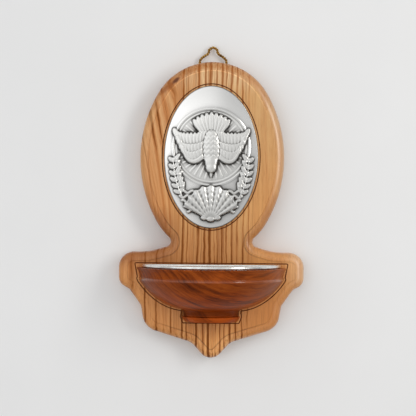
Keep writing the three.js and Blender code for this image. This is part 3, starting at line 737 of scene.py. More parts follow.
def plaque_silver():
    """Silver that is dark where the mesh has oxide and frosted where it has satin, with a painted reflection
    that lights it towards the upper left.
    """
    g = material_graph("silver_foil_relief")
    oxide, satin = (g.add("Attribute", attribute_name=name).outputs["Fac"] for name in ("oxide", "satin"))
    point = g.place()
    x, _, z = g.axes(point)
    # Oxide darkens the silver; on the rim it also stands for painted shade of the gap round the plaque
    tarnish_and_rim_shade = g.times(oxide, g.scaled(g.noise(point, 3, 0.6, 0.35), 0.6, 0.65))
    # Painted reflection: the silver is lighter in its upper part and towards the left, darker low down, at
    # the very top and at the right
    painted_reflection_by_height = g.ramp(g.ranged(z, -38, 42), [(0, 0.85), (0.75, 1.1), (1, 0.86)])
    painted_light_tone = g.times(painted_reflection_by_height, g.ranged(x, -26, 26, 1.12, 0.93))
    bright = g.mix(1, g.mix(satin, (224, 224, 223), (214, 214, 212)), painted_light_tone, "MULTIPLY")
    frost = g.times(g.noise(point, 2, 0.5, 6), satin)
    return g.finish({
        "Base Color": g.mix(tarnish_and_rim_shade, bright, (52, 49, 46)),
        "Metallic": 1.0,
        "Roughness": g.scaled(tarnish_and_rim_shade, 0.2, g.scaled(satin, 0.2, 0.13)),
        "Normal": g.bump(frost, 0.03, 0.3),
    })


def metal(name, bright, dull, rough, scale, relief=0.25):
    """Metal with fine streaks or pits, and duller in patches."""
    g = material_graph(name)
    point = g.place()
    streaks = g.grain(point, scale, 4, 0.65)
    patches = g.ramp(g.noise(point, 3, 0.6, 0.3), [(0.4, 0), (0.75, 1)])
    return g.finish({
        "Base Color": g.mix(patches, bright, dull),
        "Metallic": 1.0,
        "Roughness": g.ranged(streaks, 0, 1, rough - 0.08, rough + 0.1),
        "Normal": g.bump(streaks, 0.02, relief),
    })


def matt(name, first, second, scale):
    g = material_graph(name)
    mottle = g.noise(g.place(), 4, 0.6, scale)
    return g.finish({
        "Base Color": g.mix(mottle, first, second),
        "Roughness": g.scaled(mottle, 0.2, 0.65),
        "Normal": g.bump(mottle, 0.05, 0.3),
    })


olive_wood = board_wood("olive_wood_grain")
# Copies of the wood for the step round the face and its brow, with painted shade low down and a painted
# highlight at the top
step_wood = board_wood("olive_wood_step", 0.45, 1.2)
brow_wood = board_wood("olive_wood_brow", 0.78, 1.25)
red_wood = bowl_wood()
burnt = burnt_wood()
silver = plaque_silver()
steel = metal("cup_steel_brushed", (238, 240, 238), (212, 214, 212), 0.26, (0.05, 0.05, 2.5), 0.08)
brass = metal("brass_aged", (190, 150, 82), (120, 88, 44), 0.34, (2, 2, 2))
zinc = metal("zinc_yellow", (208, 190, 130), (160, 140, 90), 0.36, (3, 3, 3))
resin = matt("filler_resin_cast", (228, 220, 200), (206, 196, 172), 0.5)
pad = matt("adhesive_pad_foam", (236, 236, 232), (214, 214, 208), 2)


# Board

# Places of the board's other materials in its list, after the wood of its face
LINE, STEP, BROW = 1, 2, 3


def groove(skin, outline):
    """A V-shaped cutter along a closed outline on the front face."""
    splay = (GROOVE_WIDTH / 2) * (1 + SEAT_GAP / GROOVE_DEPTH)
    bottom = flat_ring(outline, GROOVE_DEPTH - BOARD_THICKNESS)
    sides = [flat_ring(grown(outline, reach), -BOARD_THICKNESS - SEAT_GAP) for reach in (splay, -splay)]
    skin.loft([bottom, *sides], LINE, capped=False)


def screw_rings(extra, x, top):
    """A countersunk screw made larger all round by extra, whose head begins at the depth top."""
    head, shank = SCREW_HEAD / 2 + extra, SCREW_SHANK / 2 + extra
    end = SCREW_LENGTH + extra
    cone = [(head, top), (head, SCREW_SINK), (shank, SCREW_SINK + head - shank)]
    return turned([*cone, (shank, end - SCREW_TIP), (SCREW_POINT, end)], x, SCREW_Z)


def screw_holes():
    skin = Skin()
    for x in (-SCREW_X, SCREW_X):
        skin.loft(screw_rings(HOLE_CLEARANCE, x, -OVERSHOOT))
    return skin


def nail_holes(skin, start, end):
    radius = NAIL_SHANK / 2 + HOLE_CLEARANCE
    for x in (-NAIL_X, NAIL_X):
        skin.loft(turned([(radius, start), (radius, end)], x, NAIL_Z))


def make_board():
    outline = board_outline()
    straight = BOARD_THICKNESS - EDGE_STEP - EDGE_ROUND
    profile = [(BACK_CHAMFER + BACK_LAND, 0), (BACK_CHAMFER, 0), CHAMFER_KNEE, (0, BACK_CHAMFER)]
    for k in range(ROUND_STEPS + 1):
        turn = k / ROUND_STEPS * math.pi / 2
        profile.append((EDGE_ROUND * (1 - math.cos(turn)), straight + EDGE_ROUND * math.sin(turn)))
    step_start = len(profile) - 1
    brow_start = step_start + 2
    brow = EDGE_ROUND + STEP_SLOPE
    profile += [
        (EDGE_ROUND + 0.2 * STEP_SLOPE, BOARD_THICKNESS - 0.8 * EDGE_STEP),
        (brow, BOARD_THICKNESS - 0.2 * EDGE_STEP),
        (brow + 0.4 * BROW_EASE, BOARD_THICKNESS - 0.1 * BROW_EASE),
        (brow + BROW_EASE, BOARD_THICKNESS),
        (brow + 2 * BROW_EASE, BOARD_THICKNESS),
    ]
    skin = Skin()
    skin.loft([flat_ring(grown(outline, -inset), -depth) for inset, depth in profile])
    for finish, first, last in ((STEP, step_start, brow_start), (BROW, brow_start, len(profile) - 1)):
        for number in range(len(outline) * first, len(outline) * last):
            skin.finishes[number] = finish
    board = skin.made("moulded_board", [olive_wood, burnt, step_wood, brow_wood])

    cutter = screw_holes()
    nail_holes(cutter, POCKET_DEPTH - STRAP_SHEET, NAIL_SEAT + NAIL_LENGTH + HOLE_CLEARANCE)
    half = LOOP_HALF_WIDTH + WIRE / 2 + POCKET_MARGIN
    top = (OVAL_HALF_HEIGHT + OVERSHOOT) * 1j
    low = (HINGE_Z - STRAP_LENGTH - POCKET_FOOT) * 1j
    left = [(top, 0), (top - half, 0), (low - half, POCKET_CORNER)]
    pocket = rounded([*left, *mirrored_corners(left)])[:-1]
    cutter.loft([flat_ring(pocket, OVERSHOOT), flat_ring(pocket, -POCKET_DEPTH)])
    wide, tall = PLAQUE_HALF_WIDTH + LINE_GAP, PLAQUE_HALF_HEIGHT + LINE_GAP
    groove(cutter, oval_curve(PLAQUE_CENTRE, wide, tall, 0, 0, 2 * math.pi, 161)[:-1])
    groove(cutter, bowl_line())
    cut(board, cutter.made("board_cutter", [olive_wood, burnt]))
    dress(board, "back_board", "stoup")


# Plaque: a pressed relief of a descending dove over a shell, between two olive branches

RELIEF_PITCH = 0.14
RELIEF_EDGE = 0.28
GRID_ACROSS = 221
GRID_UP = 331
CORNER_STEPS = 6
GLORY_CENTRE = 6j
GLORY_RAYS = 36
RAY_HEIGHT = 0.22
WAVE_LEVELS = (-20.6, -23.4, -26.2, -29.0, -31.8)
LEAF = {"width": 2.7, "low": 0.25, "high": 0.5, "point": 0.42, "rib": 0.16}
SHELL_EAR = {"width": 3.0, "low": 0.5, "high": 0.3, "point": 0.6, "rib": 0}
TAIL_FEATHER = {"width": 3.6, "low": 0.25, "high": 0.5, "point": 0.72, "rib": 0.12}
BEAK = {"width": 1.8, "low": 0.8, "high": 0.5, "point": 0.3, "rib": 0}

# Rings of the glory: radius, half width, height
GLORY_RINGS = [(22.5, 0.6, 0.35), (20.6, 0.4, 0.2)]

# The front edge of the dove's right wing
WING_EDGE = (2.6 + 3j, 8.0 - 4.5j, 14.5 - 6.0j, 17.0 + 6.0j)

# Rows of wing feathers: count, length, width, height at the root and at the end
WING_ROWS = [(12, 15.5, 3.3, 0.22, 0.5), (11, 9.4, 3.1, 0.5, 0.7), (10, 5.2, 2.9, 0.7, 0.85)]

# The dove's body, breast and head: half width, half height, middle
DOVE_PARTS = [(5.4, 11.5, 5.0), (3.9, 6.5, -2.0), (3.3, 3.6, -6.0)]


def soft(share):
    share = np.clip(share, 0, 1)
    return share * share * (3 - 2 * share)


def dome(share):
    """The height of a half circle at a share of its radius."""
    return np.sqrt(np.clip(1 - share**2, 0, 1))


def covered(inside):
    """The cover at a distance inside an outline, with a soft edge."""
    return soft(inside / RELIEF_EDGE + 0.5)


def sided(point, side):
    return point if side > 0 else -point.conjugate()


def blurred(field, spread):
    reach = int(3 * spread / RELIEF_PITCH) + 1
    steps = np.arange(-reach, reach + 1)
    weights = np.exp(-0.5 * (steps * RELIEF_PITCH / spread) ** 2)
    weights /= weights.sum()
    for axis in (0, 1):
        padded = np.pad(field, [(reach, reach) if a == axis else (0, 0) for a in (0, 1)], mode="edge")
        size = field.shape[axis]
        field = sum(w * np.take(padded, range(k, k + size), axis) for k, w in enumerate(weights))
    return field


class Relief:
    """Heights over the plaque, with x across and y up, that motifs are laid on one after another."""

    def __init__(self):
        self.left, self.low = -PLAQUE_HALF_WIDTH - 1, -PLAQUE_HALF_HEIGHT - 1
        columns = np.arange(self.left, -self.left, RELIEF_PITCH)
        rows = np.arange(self.low, -self.low, RELIEF_PITCH)
        self.x, self.y = np.meshgrid(columns, rows)
        self.height = np.zeros_like(self.x)
        self.satin = np.zeros_like(self.x)
        self.cover = np.zeros_like(self.x)

    def near(self, centre, reach):
        def span(middle, start):
            first = int((middle - reach - start) / RELIEF_PITCH)
            return slice(max(0, first), max(0, first + int(2 * reach / RELIEF_PITCH) + 2))

        return span(centre.imag, self.low), span(centre.real, self.left)

    def points(self, where):
        return self.x[where] + 1j * self.y[where]

    def lay(self, where, form, cover):
        self.height[where] += (form - self.height[where]) * cover
        self.satin[where] = np.maximum(self.satin[where], cover)
        self.cover[where] = np.maximum(self.cover[where], cover)

    def swell(self, spread, amount):
        """Lifts what was laid since the last swelling into one rounded mass."""
        self.height += amount * self.cover * blurred(self.cover, spread)
        self.cover[:] = 0

    def blade(self, root, angle, length, width, low, high, point, rib):
        """A feather or a leaf. It is widest before the share point of its length."""
        where = self.near(root + cmath.rect(length / 2, angle), length / 2 + width)
        local = (self.points(where) - root) * cmath.exp(-1j * angle)
        along, across = local.real / length, np.abs(local.imag)
        rise = np.sqrt(np.clip(along / point, 0, 1))
        fall = dome(np.clip(along - point, 0, 1) / (1 - point))
        half = np.maximum(width / 2 * rise * fall, 1e-3)
        form = low + (high - low) * along + 0.24 * dome(across / half) - rib * np.exp(-((across / 0.2) ** 2))
        self.lay(where, form, covered(half - across) * (along > 0) * (along < 1))

    def ball(self, centre, half_width, half_height, low, high, angle=0.0):
        where = self.near(centre, max(half_width, half_height) + 1)
        local = (self.points(where) - centre) * cmath.exp(-1j * angle)
        inside = 1 - (local.real / half_width) ** 2 - (local.imag / half_height) ** 2
        form = low + (high - low) * np.sqrt(np.clip(inside, 0, 1))
        self.lay(where, form, soft(inside * min(half_width, half_height) / RELIEF_EDGE))

    def cord(self, line, thick, thin, low, high):
        """A round ridge along a chain of points, tapering from thick to thin."""
        nearest = np.full(self.x.shape, 1e9)
        radius = np.full(self.x.shape, thin, float)
        for k, (start, end) in enumerate(zip(line, line[1:])):
            where = self.near((start + end) / 2, abs(end - start) / 2 + 2 * thick + 0.5)
            local = (self.points(where) - start) / (end - start)
            distance = np.abs(local - np.clip(local.real, 0, 1)) * abs(end - start)
            closer = distance < nearest[where]
            here = thick + (thin - thick) * (k + np.clip(local.real, 0, 1)) / (len(line) - 1)
            radius[where] = np.where(closer, here, radius[where])
            nearest[where] = np.where(closer, distance, nearest[where])
        self.lay(slice(None), low + (high - low) * dome(nearest / radius), covered(radius - nearest))

    def sampled(self, field, x, y):
        column, row = (x - self.left) / RELIEF_PITCH, (y - self.low) / RELIEF_PITCH
        i = np.clip(row.astype(int), 0, field.shape[0] - 2)
        j = np.clip(column.astype(int), 0, field.shape[1] - 2)
        v, u = row - i, column - j
        upper = field[i + 1, j] * (1 - u) + field[i + 1, j + 1] * u
        return (field[i, j] * (1 - u) + field[i, j + 1] * u) * (1 - v) + upper * v


def bezier(share, a, b, c, d):
    rest = 1 - share
    return rest**3 * a + 3 * rest**2 * share * b + 3 * rest * share**2 * c + share**3 * d


def lay_glory(relief):
    """A double ring round the dove, with rays inside it."""
    local = relief.points(slice(None)) - GLORY_CENTRE
    distance, angle = np.abs(local), np.angle(local)
    for radius, half, high in GLORY_RINGS:
        relief.height += high * np.exp(-(((distance - radius) / half) ** 2))
    rays = np.clip(np.cos(angle * GLORY_RAYS), 0, 1) ** 2
    relief.height += RAY_HEIGHT * rays * soft((distance - 5) / 3) * soft((20 - distance) / 2)
    relief.satin = np.maximum(relief.satin, 0.8 * soft((23 - distance) / 0.5))


def lay_waves(relief):
    for k, level in enumerate(WAVE_LEVELS):
        reach = 21.5 * math.sqrt(1 - (level / (PLAQUE_HALF_HEIGHT - 3)) ** 2) + 1
        xs = np.linspace(-reach, reach, 60)
        crest = [complex(x, level + 0.7 * math.cos(x * 1.15 + math.pi * k)) for x in xs]
        relief.cord(crest, thick=0.85, thin=0.85, low=0.05, high=0.55)


def lay_branch(relief, side):
    def stem(turn):
        wide, tall = PLAQUE_HALF_WIDTH - 5.4, PLAQUE_HALF_HEIGHT - 6
        return sided(complex(wide * math.cos(turn), tall * math.sin(turn)), side)

    for k in range(6):
        turn = math.radians(-37 + 6.4 * k)
        root = stem(turn)
        heading = cmath.phase(stem(turn + 0.02) - root)
        for flank in (1, -1):
            length = (7.4 if flank * side > 0 else 4.8) * (1 - 0.03 * k)
            relief.blade(root, heading + flank * math.radians(40), length, **LEAF)
        if k % 2:
            olive = root + cmath.rect(2.2, heading + side * math.radians(80))
            relief.ball(olive, 1.2, 1.5, 0.3, 0.95, heading)
    line = [stem(turn) for turn in np.radians(np.linspace(-40, -1, 30))]
    relief.cord(line, thick=0.6, thin=0.35, low=0.3, high=0.7)


def lay_shell(relief):
    hinge, radius, spread, ribs = -37.4j, 21.0, math.radians(64), 9
    for side in (0, math.pi):
        relief.blade(hinge + 1.6j, side, 6.0, **SHELL_EAR)
    where = relief.near(hinge + 1j * radius / 2, radius)
    local = (relief.points(where) - hinge) / 1j
    distance, angle = np.abs(local), np.angle(local)
    fluting = np.cos(angle / spread * ribs * math.pi)
    edge = radius * (0.97 - 0.14 * (angle / spread) ** 2 + 0.025 * fluting)
    share = distance / edge
    form = 0.3 + 0.4 * np.sin(np.clip(share, 0, 1) * 2.3) + 0.3 * fluting * share - 0.06 * np.cos(share * 40)
    fan = covered((spread - np.abs(angle)) * distance) * (np.abs(angle) < 1.6)
    relief.lay(where, form, covered(edge - distance) * fan)
    relief.ball(hinge + 0.6j, 2.4, 1.5, 0.4, 0.8)


def lay_dove(relief):
    for k in (-4, 4, -3, 3, -2, 2, -1, 1, 0):
        relief.blade(9j + 0.3 * k, math.radians(90 - 9 * k), 17.5 - 0.3 * abs(k), **TAIL_FEATHER)
    for side in (1, -1):
        for row, (count, length, width, low, high) in enumerate(WING_ROWS):
            for k in range(count):
                share = 1 - 0.92 * k / (count - 1)
                heading = math.radians(100 - 36 * share**1.4 - 4 * row)
                reach = length * (0.72 + 0.4 * math.sin(math.pi * min(1, share * 0.85 + 0.1)))
                angle = heading if side > 0 else math.pi - heading
                root = sided(bezier(share, *WING_EDGE), side)
                relief.blade(root, angle, reach, width, low, high, point=0.74, rib=0.1)
        line = [sided(bezier(share, *WING_EDGE), side) for share in np.linspace(0, 1, 24)]
        relief.cord(line, thick=1.7, thin=0.8, low=0.7, high=1.1)
    relief.swell(2.6, 0.8)
    relief.blade(-8.4j, -math.pi / 2, 4.0, **BEAK)
    where = relief.near(0j, 18)
    x, y = relief.x[where], relief.y[where]
    inside = np.stack([1 - (x / w) ** 2 - ((y - c) / h) ** 2 for w, h, c in DOVE_PARTS]).max(0)
    scales = 0.09 * np.cos(y * 2.2 + 1.2 * np.cos(x * 2.4)) * soft((y + 2) / 3)
    form = 0.9 + 1.3 * np.sqrt(np.clip(inside, 0, 1)) + scales
    relief.lay(where, form, soft(inside * 3 / RELIEF_EDGE))


def plaque_relief():
    relief = Relief()
    lay_glory(relief)
    lay_waves(relief)
    relief.swell(1.5, 0.1)
    for side in (1, -1):
        lay_branch(relief, side)
    relief.swell(1.2, 0.3)
    lay_shell(relief)
    relief.swell(2.5, 0.7)
    lay_dove(relief)
    relief.height = blurred(relief.height, 0.16)
    relief.satin = blurred(relief.satin, 0.35)
    return relief


def make_plaque():
    half_width, half_height = PLAQUE_HALF_WIDTH - PLAQUE_CORNER, PLAQUE_HALF_HEIGHT - PLAQUE_CORNER
    u, v = np.meshgrid(np.linspace(-1, 1, GRID_ACROSS), np.linspace(-1, 1, GRID_UP))
    x = half_width * u * np.sqrt(1 - v * v / 2)
    y = half_height * v * np.sqrt(1 - u * u / 2)
    out = np.clip(np.hypot(x / half_width, y / half_height), 0, 1)
    relief = plaque_relief()
    inner = soft((1 - out) * half_width / 1.6)
    raised = relief.sampled(relief.height, x, y) * inner
    fine, wide = (blurred(relief.height, spread) - relief.height for spread in (0.4, 1.5))
    hollow = np.clip(relief.sampled(6 * fine + 1.7 * wide, x, y) * inner, 0, 1)
    satin = relief.sampled(relief.satin, x, y) * inner
    top = PLAQUE_RIM + PLAQUE_CORNER
    height = top + PLAQUE_CROWN * (1 - out**2) + raised

    skin = Skin()
    middle_x, middle_z = PLAQUE_CENTRE.real, PLAQUE_CENTRE.imag
    front = zip(x.flat, y.flat, height.flat)
    numbers = skin.ring([(middle_x + a, -BOARD_THICKNESS - h, middle_z + b) for a, b, h in front])
    numbers = np.array(numbers).reshape(GRID_UP, GRID_ACROSS)
    for low, high in zip(numbers, numbers[1:]):
        skin.band(list(low), list(high), closed=False)
    rim = [*numbers[0, :-1], *numbers[:-1, -1], *numbers[-1, :0:-1], *numbers[:0:-1, 0]]
    turns = [math.atan2(y.flat[n] / half_height, x.flat[n] / half_width) for n in rim]

    def ring(inset, level):
        wide, tall = PLAQUE_HALF_WIDTH - inset, PLAQUE_HALF_HEIGHT - inset
        outline = [PLAQUE_CENTRE + complex(wide * math.cos(t), tall * math.sin(t)) for t in turns]
        return skin.ring(flat_ring(outline, -BOARD_THICKNESS - level))

    def corner(inset, steps):
        for k in steps:
            point = cmath.rect(PLAQUE_CORNER, k / CORNER_STEPS * math.pi / 2)
            yield inset + PLAQUE_CORNER - point.real, top - inset - PLAQUE_CORNER + point.imag

    outer = corner(0, range(CORNER_STEPS - 1, -1, -1))
    path = [*outer, (0, SEAT_GAP), (FOIL, SEAT_GAP), *corner(FOIL, range(CORNER_STEPS + 1))]
    for share in (0.2, 0.5, 0.9):
        inset = FOIL + PLAQUE_CORNER + (half_width - FOIL) * share
        path.append((inset, top - FOIL + PLAQUE_CROWN * (1 - (1 - share) ** 2)))
    last = rim
    for inset, level in path:
        following = ring(inset, level)
        skin.band(last, following)
        last = following
    skin.face(last)
    plaque = skin.made("embossed_plaque", [silver], math.radians(50))

    # Points beyond the front grid, on the rim and sides, get oxide 0.5 and satin 0.3: the dark rim is partly
    # oxide and partly painted shade of the gap round the plaque
    for name, values, beyond in (("oxide", hollow, 0.5), ("satin", satin, 0.3)):
        whole = np.full(len(skin.points), beyond, np.float32)
        whole[: values.size] = values.ravel()
        plaque.data.attributes.new(name, "FLOAT", "POINT").data.foreach_set("value", whole)
    dress(plaque, "plaque_face", "stoup")


# Bowl and cup

def curve(start, bend, end, count=12):
    return [(1 - t) ** 2 * start + 2 * t * (1 - t) * bend + t * t * end for t in np.linspace(0, 1, count)]


def bowl_profile():
    """From the base up to the rim: foot, groove, neck, round body, bead, cove and rim."""
    middle = (BASE_LEVEL + FOOT_TOP) / 2
    foot_edge = FOOT_RADIUS + (FOOT_TOP - FOOT_GROOVE) * 1j
    groove_floor = NECK_RADIUS - FOOT_GROOVE + FOOT_TOP * 1j
    neck_foot = NECK_RADIUS + (FOOT_TOP + FOOT_GROOVE) * 1j
    neck_centre = NECK_RADIUS + NECK_COVE + (NECK_TOP - NECK_COVE) * 1j
    rim_centre = BOWL_RADIUS - RIM_EASE * (1 + 1j)
    waist, bend = (WAIST_RADIUS + level * 1j for level in (WAIST_LEVEL, WAIST_LEVEL / 2))
    return [
        *curve(BASE_RADIUS + BASE_LEVEL * 1j, FOOT_RADIUS + middle * 1j, foot_edge),
        *curve(foot_edge, FOOT_RADIUS + (FOOT_TOP - 0.2 * FOOT_GROOVE) * 1j, groove_floor, 8)[1:],
        *curve(groove_floor, NECK_RADIUS + (FOOT_TOP + 0.3 * FOOT_GROOVE) * 1j, neck_foot, 6)[1:],
        *arc(neck_centre, NECK_COVE, math.pi, math.pi / 2),
        *body_curve(0, COVE_ANGLE, BODY_HEAD)[1:],
        *arc(BEAD_CENTRE, BEAD_HALF, -BEAD_TURN, BEAD_TURN)[1:],
        *curve(waist, bend, BOWL_RADIUS - RIM_EASE * 1j),
        *(rim_centre + cmath.rect(RIM_EASE, turn) for turn in np.linspace(0.3, math.pi / 2, 5)),
    ]


def cup_profile(inset, top):
    """The cup's form drawn in by an inset, from its floor up to the level top."""
    side = oval_curve(CUP_CENTRE, CUP_WIDE, CUP_TALL, -inset, -math.pi / 2, -CUP_TURN)
    return [*side, CUP_RADIUS - inset + top * 1j]


def make_bowl():
    outside = [half_ring(p, SEAT_GAP) for p in bowl_profile()]
    inside = [half_ring(p, BOWL_BACK_WALL) for p in cup_profile(-CUP_CLEARANCE, 0)[::-1]]
    bowl = lofted("turned_half_bowl", outside + inside, red_wood, math.radians(40))
    cut(bowl, screw_holes().made("bowl_cutter", [red_wood]))
    dress(bowl, "bowl_shell", "stoup")


def make_cup():
    back = BOWL_BACK_WALL + CUP_CLEARANCE
    middle = CUP_RADIUS - CUP_SHEET + LIP_WIDTH / 2 + (LIP_TOP - LIP_HEIGHT / 2) * 1j
    rings = [half_ring(p, back) for p in cup_profile(0, SEAT_GAP)]
    for turn in np.linspace(LIP_START, LIP_END, 20):
        across, up = (math.copysign(abs(v) ** LIP_SQUARENESS, v) for v in (math.cos(turn), math.sin(turn)))
        point = middle + complex(LIP_WIDTH / 2 * across, LIP_HEIGHT / 2 * up)
        share = min(1, max(0, (turn - math.pi / 2) / (LIP_END - math.pi / 2)))
        rings.append(half_ring(point, back + CUP_SHEET * share))
    rings += [half_ring(p, back + CUP_SHEET) for p in cup_profile(CUP_SHEET, LIP_TOP / 2)[::-1]]
    cup = lofted("rolled_lip_cup", rings, steel, math.radians(50))
    dress(cup, "bowl_liner", "cup")


# Hanger and fasteners

def loop_line(count):
    """Points evenly along the loop's closed middle line, about the hinge, and its length."""
    above = (LOOP_SHOULDER_ABOVE, LOOP_WAIST_ABOVE, LOOP_TOP_ABOVE)
    shoulder, waist, top = (HINGE_BELOW + height for height in above)
    right = [
        0j,
        LOOP_HALF_WIDTH - WIRE + 0j,
        LOOP_HALF_WIDTH - 0.3 * WIRE + 0.3j * WIRE,
        LOOP_HALF_WIDTH + 1j * WIRE,
        LOOP_HALF_WIDTH + 0.5j * shoulder,
        LOOP_HALF_WIDTH + 1j * (shoulder - WIRE),
        LOOP_HALF_WIDTH - 0.5 * WIRE + 1j * (shoulder - 0.25 * WIRE),
        (LOOP_HALF_WIDTH + LOOP_WAIST_HALF) / 2 + 1j * (2 * shoulder + waist) / 3,
        LOOP_WAIST_HALF + 1j * waist,
        0.8 * LOOP_WAIST_HALF + 1j * (waist + 1.5 * top) / 2.5,
    ]
    knots = [*right, top * 1j, *mirrored(right[1:])]
    dense = []
    for i in range(len(knots)):
        a, b, c, d = (knots[(i + k) % len(knots)] for k in (-1, 0, 1, 2))
        before, span, after = (math.sqrt(abs(q - p)) for p, q in ((a, b), (b, c), (c, d)))
        leave = ((b - a) / before - (c - a) / (before + span) + (c - b) / span) * span
        arrive = ((c - b) / span - (d - b) / (span + after) + (d - c) / after) * span
        square, cube = 3 * (c - b) - 2 * leave - arrive, 2 * (b - c) + leave + arrive
        dense += [b + leave * t + square * t * t + cube * t**3 for t in np.arange(0, 1, 1 / 60)]
    dense = np.array(dense + dense[:1])
    run = np.concatenate([[0], np.cumsum(np.abs(np.diff(dense)))])
    places = np.linspace(0, run[-1], count, endpoint=False)
    return np.interp(places, run, dense.real) + 1j * np.interp(places, run, dense.imag), run[-1]


def make_loop():
    line, length = loop_line(LOOP_STEPS)
    ahead = np.roll(line, -1) - np.roll(line, 1)
    normal = -1j * ahead / np.abs(ahead)
    strand = WIRE / 4
    twist = 2 * math.pi * round(length / TWIST_PITCH) * np.arange(LOOP_STEPS) / LOOP_STEPS
    skin = Skin()
    for start in (0, math.pi):
        lift, swing = np.cos(twist + start), np.sin(twist + start)
        outward = np.stack([(normal * lift).real, -swing, (normal * lift).imag], 1)
        centre = np.stack([line.real, 0 * twist, line.imag], 1) + strand * outward
        tangent = np.roll(centre, -1, 0) - np.roll(centre, 1, 0)
        tangent /= np.linalg.norm(tangent, axis=1)[:, None]
        sideways = np.cross(tangent, outward)
        centre += (0, -HINGE_DEPTH, HINGE_Z)
        section = circle(strand, STRAND_STEPS)
        axes = zip(centre, outward, sideways)
        rings = [[tuple(c + p.real * o + p.imag * s) for p in section] for c, o, s in axes]
        skin.loft(rings, capped=False)
    loop = skin.made("twisted_hanger_loop", [brass], math.radians(80))
    dress(loop, "hanger_loop", "hanger")


def strap_ring(section, x):
    """A section across the strap, from points of depth in front of the hinge and height above it."""
    return [(x, -HINGE_DEPTH - p.real, HINGE_Z + p.imag) for p in section]


def make_strap():
    """A folded strip with eased edges."""
    leaf_back = EYE_OUTER - 2 * STRAP_SHEET
    meets = math.asin(leaf_back / EYE_OUTER)
    outside = [
        EYE_OUTER - STRAP_LENGTH * 1j,
        *arc(0, EYE_OUTER, 0, 1.5 * math.pi + meets),
        leaf_back - STRAP_LENGTH * 1j,
    ]
    half, flat = STRAP_WIDTH / 2, STRAP_WIDTH / 2 - STRAP_EDGE
    spans = [(half, -STRAP_EDGE), (flat, 0), (-flat, 0), (-half, -STRAP_EDGE)]
    strap = lofted("folded_strap", [strap_ring(grown(outside, inset), x) for x, inset in spans], brass)
    cutter = Skin()
    cutter.loft([strap_ring(circle(EYE_INNER), x) for x in (half + OVERSHOOT, -half - OVERSHOOT)])
    nail_holes(cutter, 0, POCKET_DEPTH + OVERSHOOT)
    cut(strap, cutter.made("strap_cutter", [brass]))
    dress(strap, "hanger_strap", "stoup")


def make_nail(side, x):
    head, shank, crown = NAIL_HEAD / 2, NAIL_SHANK / 2, NAIL_SEAT - NAIL_HEAD_HEIGHT
    end = NAIL_SEAT + NAIL_LENGTH
    top = [(head * (1 - (1 - t) ** 2), crown + NAIL_HEAD_HEIGHT * t * t) for t in np.linspace(0.12, 1, 10)]
    profile = [*top, (shank, NAIL_SEAT), (shank, end - NAIL_SHANK), (NAIL_POINT, end)]
    nail = lofted(f"strap_nail_{side}", turned(profile, x, NAIL_Z), brass, math.radians(45))
    dress(nail, f"hanger_nail_{side}", "stoup")


def make_screw(side, x):
    screw = lofted(f"countersunk_screw_{side}", screw_rings(0, x, SCREW_SINK - SCREW_LAND), zinc)
    wing, thick = RECESS_WING, RECESS_THICK
    cross = []
    for k in range(4):
        turn = cmath.rect(1, math.pi / 4 + k * math.pi / 2)
        cross += [turn * corner for corner in (wing - thick * 1j, wing + thick * 1j, thick + thick * 1j)]
    ends = [(RECESS_MOUTH, RECESS_RISE), (RECESS_FLOOR, -SCREW_SINK - RECESS_DEPTH)]
    rings = [flat_ring([complex(x, SCREW_Z) + size * p for p in cross], y) for size, y in ends]
    cut(screw, lofted(f"screw_cutter_{side}", rings, zinc))
    dress(screw, f"bowl_screw_{side}", "stoup")


make_board()
make_plaque()
make_bowl()
make_cup()
make_loop()
make_strap()
for side, sign in (("left", -1), ("right", 1)):
    make_nail(side, sign * NAIL_X)
    make_screw(side, sign * SCREW_X)
for node, material in (("plaque_core", resin), ("plaque_adhesive", pad)):
    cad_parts[node].data.materials.clear()
    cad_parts[node].data.materials.append(material)


# Stage, light and camera

PALE = (232, 233, 234)
PALER = (240, 241, 242)
BACKDROP_HALF = 900
BACKDROP_BEHIND = 0.6
ROOM_COLOUR = (1.0, 0.995, 0.985, 1)
ROOM_BRIGHT_SIDE = (-0.15, -0.94, 0.3)
ROOM_LEVELS = (0.06, 0.74)

LIT_POINT = (0, -15, -30)
WHITE = (1, 1, 1)

# Softboxes: name, place, width and height, level, colour
SOFTBOXES = [
    ("key", (720, -720, 220), (240, 700), 0.28, (1.0, 0.97, 0.93)),
    ("front", (-400, -1150, 480), (1000, 960), 0.085, WHITE),
    ("low front", (-490, -1120, -120), (960, 500), 0.025, WHITE),
    ("left", (-760, -620, 60), (600, 800), 0.07, (0.95, 0.97, 1.0)),
    ("low", (60, -1000, -640), (1000, 700), 0.028, WHITE),
    ("behind", (-100, 900, 150), (600, 600), 0.4, WHITE),
]

CAMERA_PLACE = (-2.3, -865, -29.65)
CAMERA_ROLL = math.radians(-0.5)
CAMERA_LENS = 124.7
CAMERA_SENSOR = 36
CAMERA_NEAR = 10
CAMERA_FAR = 20000


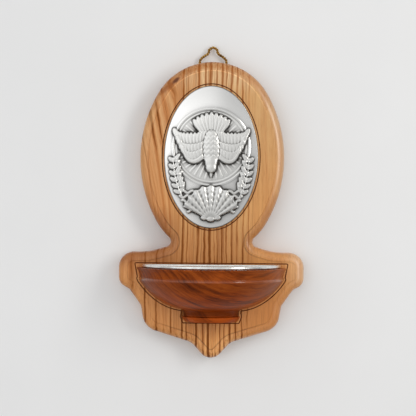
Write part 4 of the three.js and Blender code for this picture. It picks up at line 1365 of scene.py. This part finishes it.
def backdrop_material():
    """Pale paper that only the eye and reflections see, and only from its front."""
    g = material_graph("backdrop_pale")
    colour = g.mix(g.noise(g.place(), 3, 0.6, 0.008), PALE, PALER)
    paper = g.add("BsdfDiffuse", {"Color": colour}).outputs[0]
    clear = g.add("BsdfTransparent").outputs[0]
    rays = g.add("LightPath").outputs
    reflected = g.math("MAXIMUM", rays["Is Glossy Ray"], rays["Is Transmission Ray"])
    seen = g.math("MAXIMUM", rays["Is Camera Ray"], reflected)
    in_front = g.math("SUBTRACT", 1, g.add("NewGeometry").outputs["Backfacing"])
    return g.close(g.add("MixShader", {0: g.times(seen, in_front), 1: clear, 2: paper}))


def make_backdrop():
    skin = Skin()
    size, y = BACKDROP_HALF, BACKDROP_BEHIND
    skin.face(skin.ring([(-size, y, -size), (size, y, -size), (size, y, size), (-size, y, size)]))
    backdrop = skin.made("backdrop", [backdrop_material()])
    if backdrop.data.polygons[0].normal.y > 0:
        backdrop.data.flip_normals()


def make_room():
    """A world that the eye sees as plain and that lights the part more from the front."""
    world = bpy.data.worlds.new("pale_room")
    bpy.context.scene.world = world
    g = Graph(world)
    facing = g.vector("DOT_PRODUCT", g.add("TexCoord").outputs["Generated"], ROOM_BRIGHT_SIDE)
    strength = g.ranged(facing, -1, 1, *ROOM_LEVELS)
    room = g.add("Background", {"Color": ROOM_COLOUR, "Strength": strength}).outputs[0]
    plain = g.add("Background", {"Color": srgb(*PALE)}).outputs[0]
    seen = g.add("LightPath").outputs["Is Camera Ray"]
    g.close(g.add("MixShader", {0: seen, 1: room, 2: plain}), "World")


def make_softbox(name, place, size, level, colour):
    """Lights a surface which faces it, at the lit point, to a share of its written colour."""
    data = bpy.data.lights.new(name, "AREA")
    data.shape = "RECTANGLE"
    data.size, data.size_y = (length * MM for length in size)
    data.color = colour
    towards = Vector(LIT_POINT) - Vector(place)
    data.energy = level * math.pi**2 * (towards.length * MM) ** 2
    added(name, data, place).rotation_euler = towards.to_track_quat("-Z", "Y").to_euler()


def make_camera():
    data = bpy.data.cameras.new("camera")
    data.lens = CAMERA_LENS
    data.sensor_width = CAMERA_SENSOR
    data.clip_start, data.clip_end = CAMERA_NEAR * MM, CAMERA_FAR * MM
    camera = added("camera", data, CAMERA_PLACE)
    camera.rotation_euler = (math.pi / 2, CAMERA_ROLL, 0)
    bpy.context.scene.camera = camera


make_backdrop()
make_room()
for softbox in SOFTBOXES:
    make_softbox(*softbox)
make_camera()
bpy.context.scene.view_settings.view_transform = "Standard"
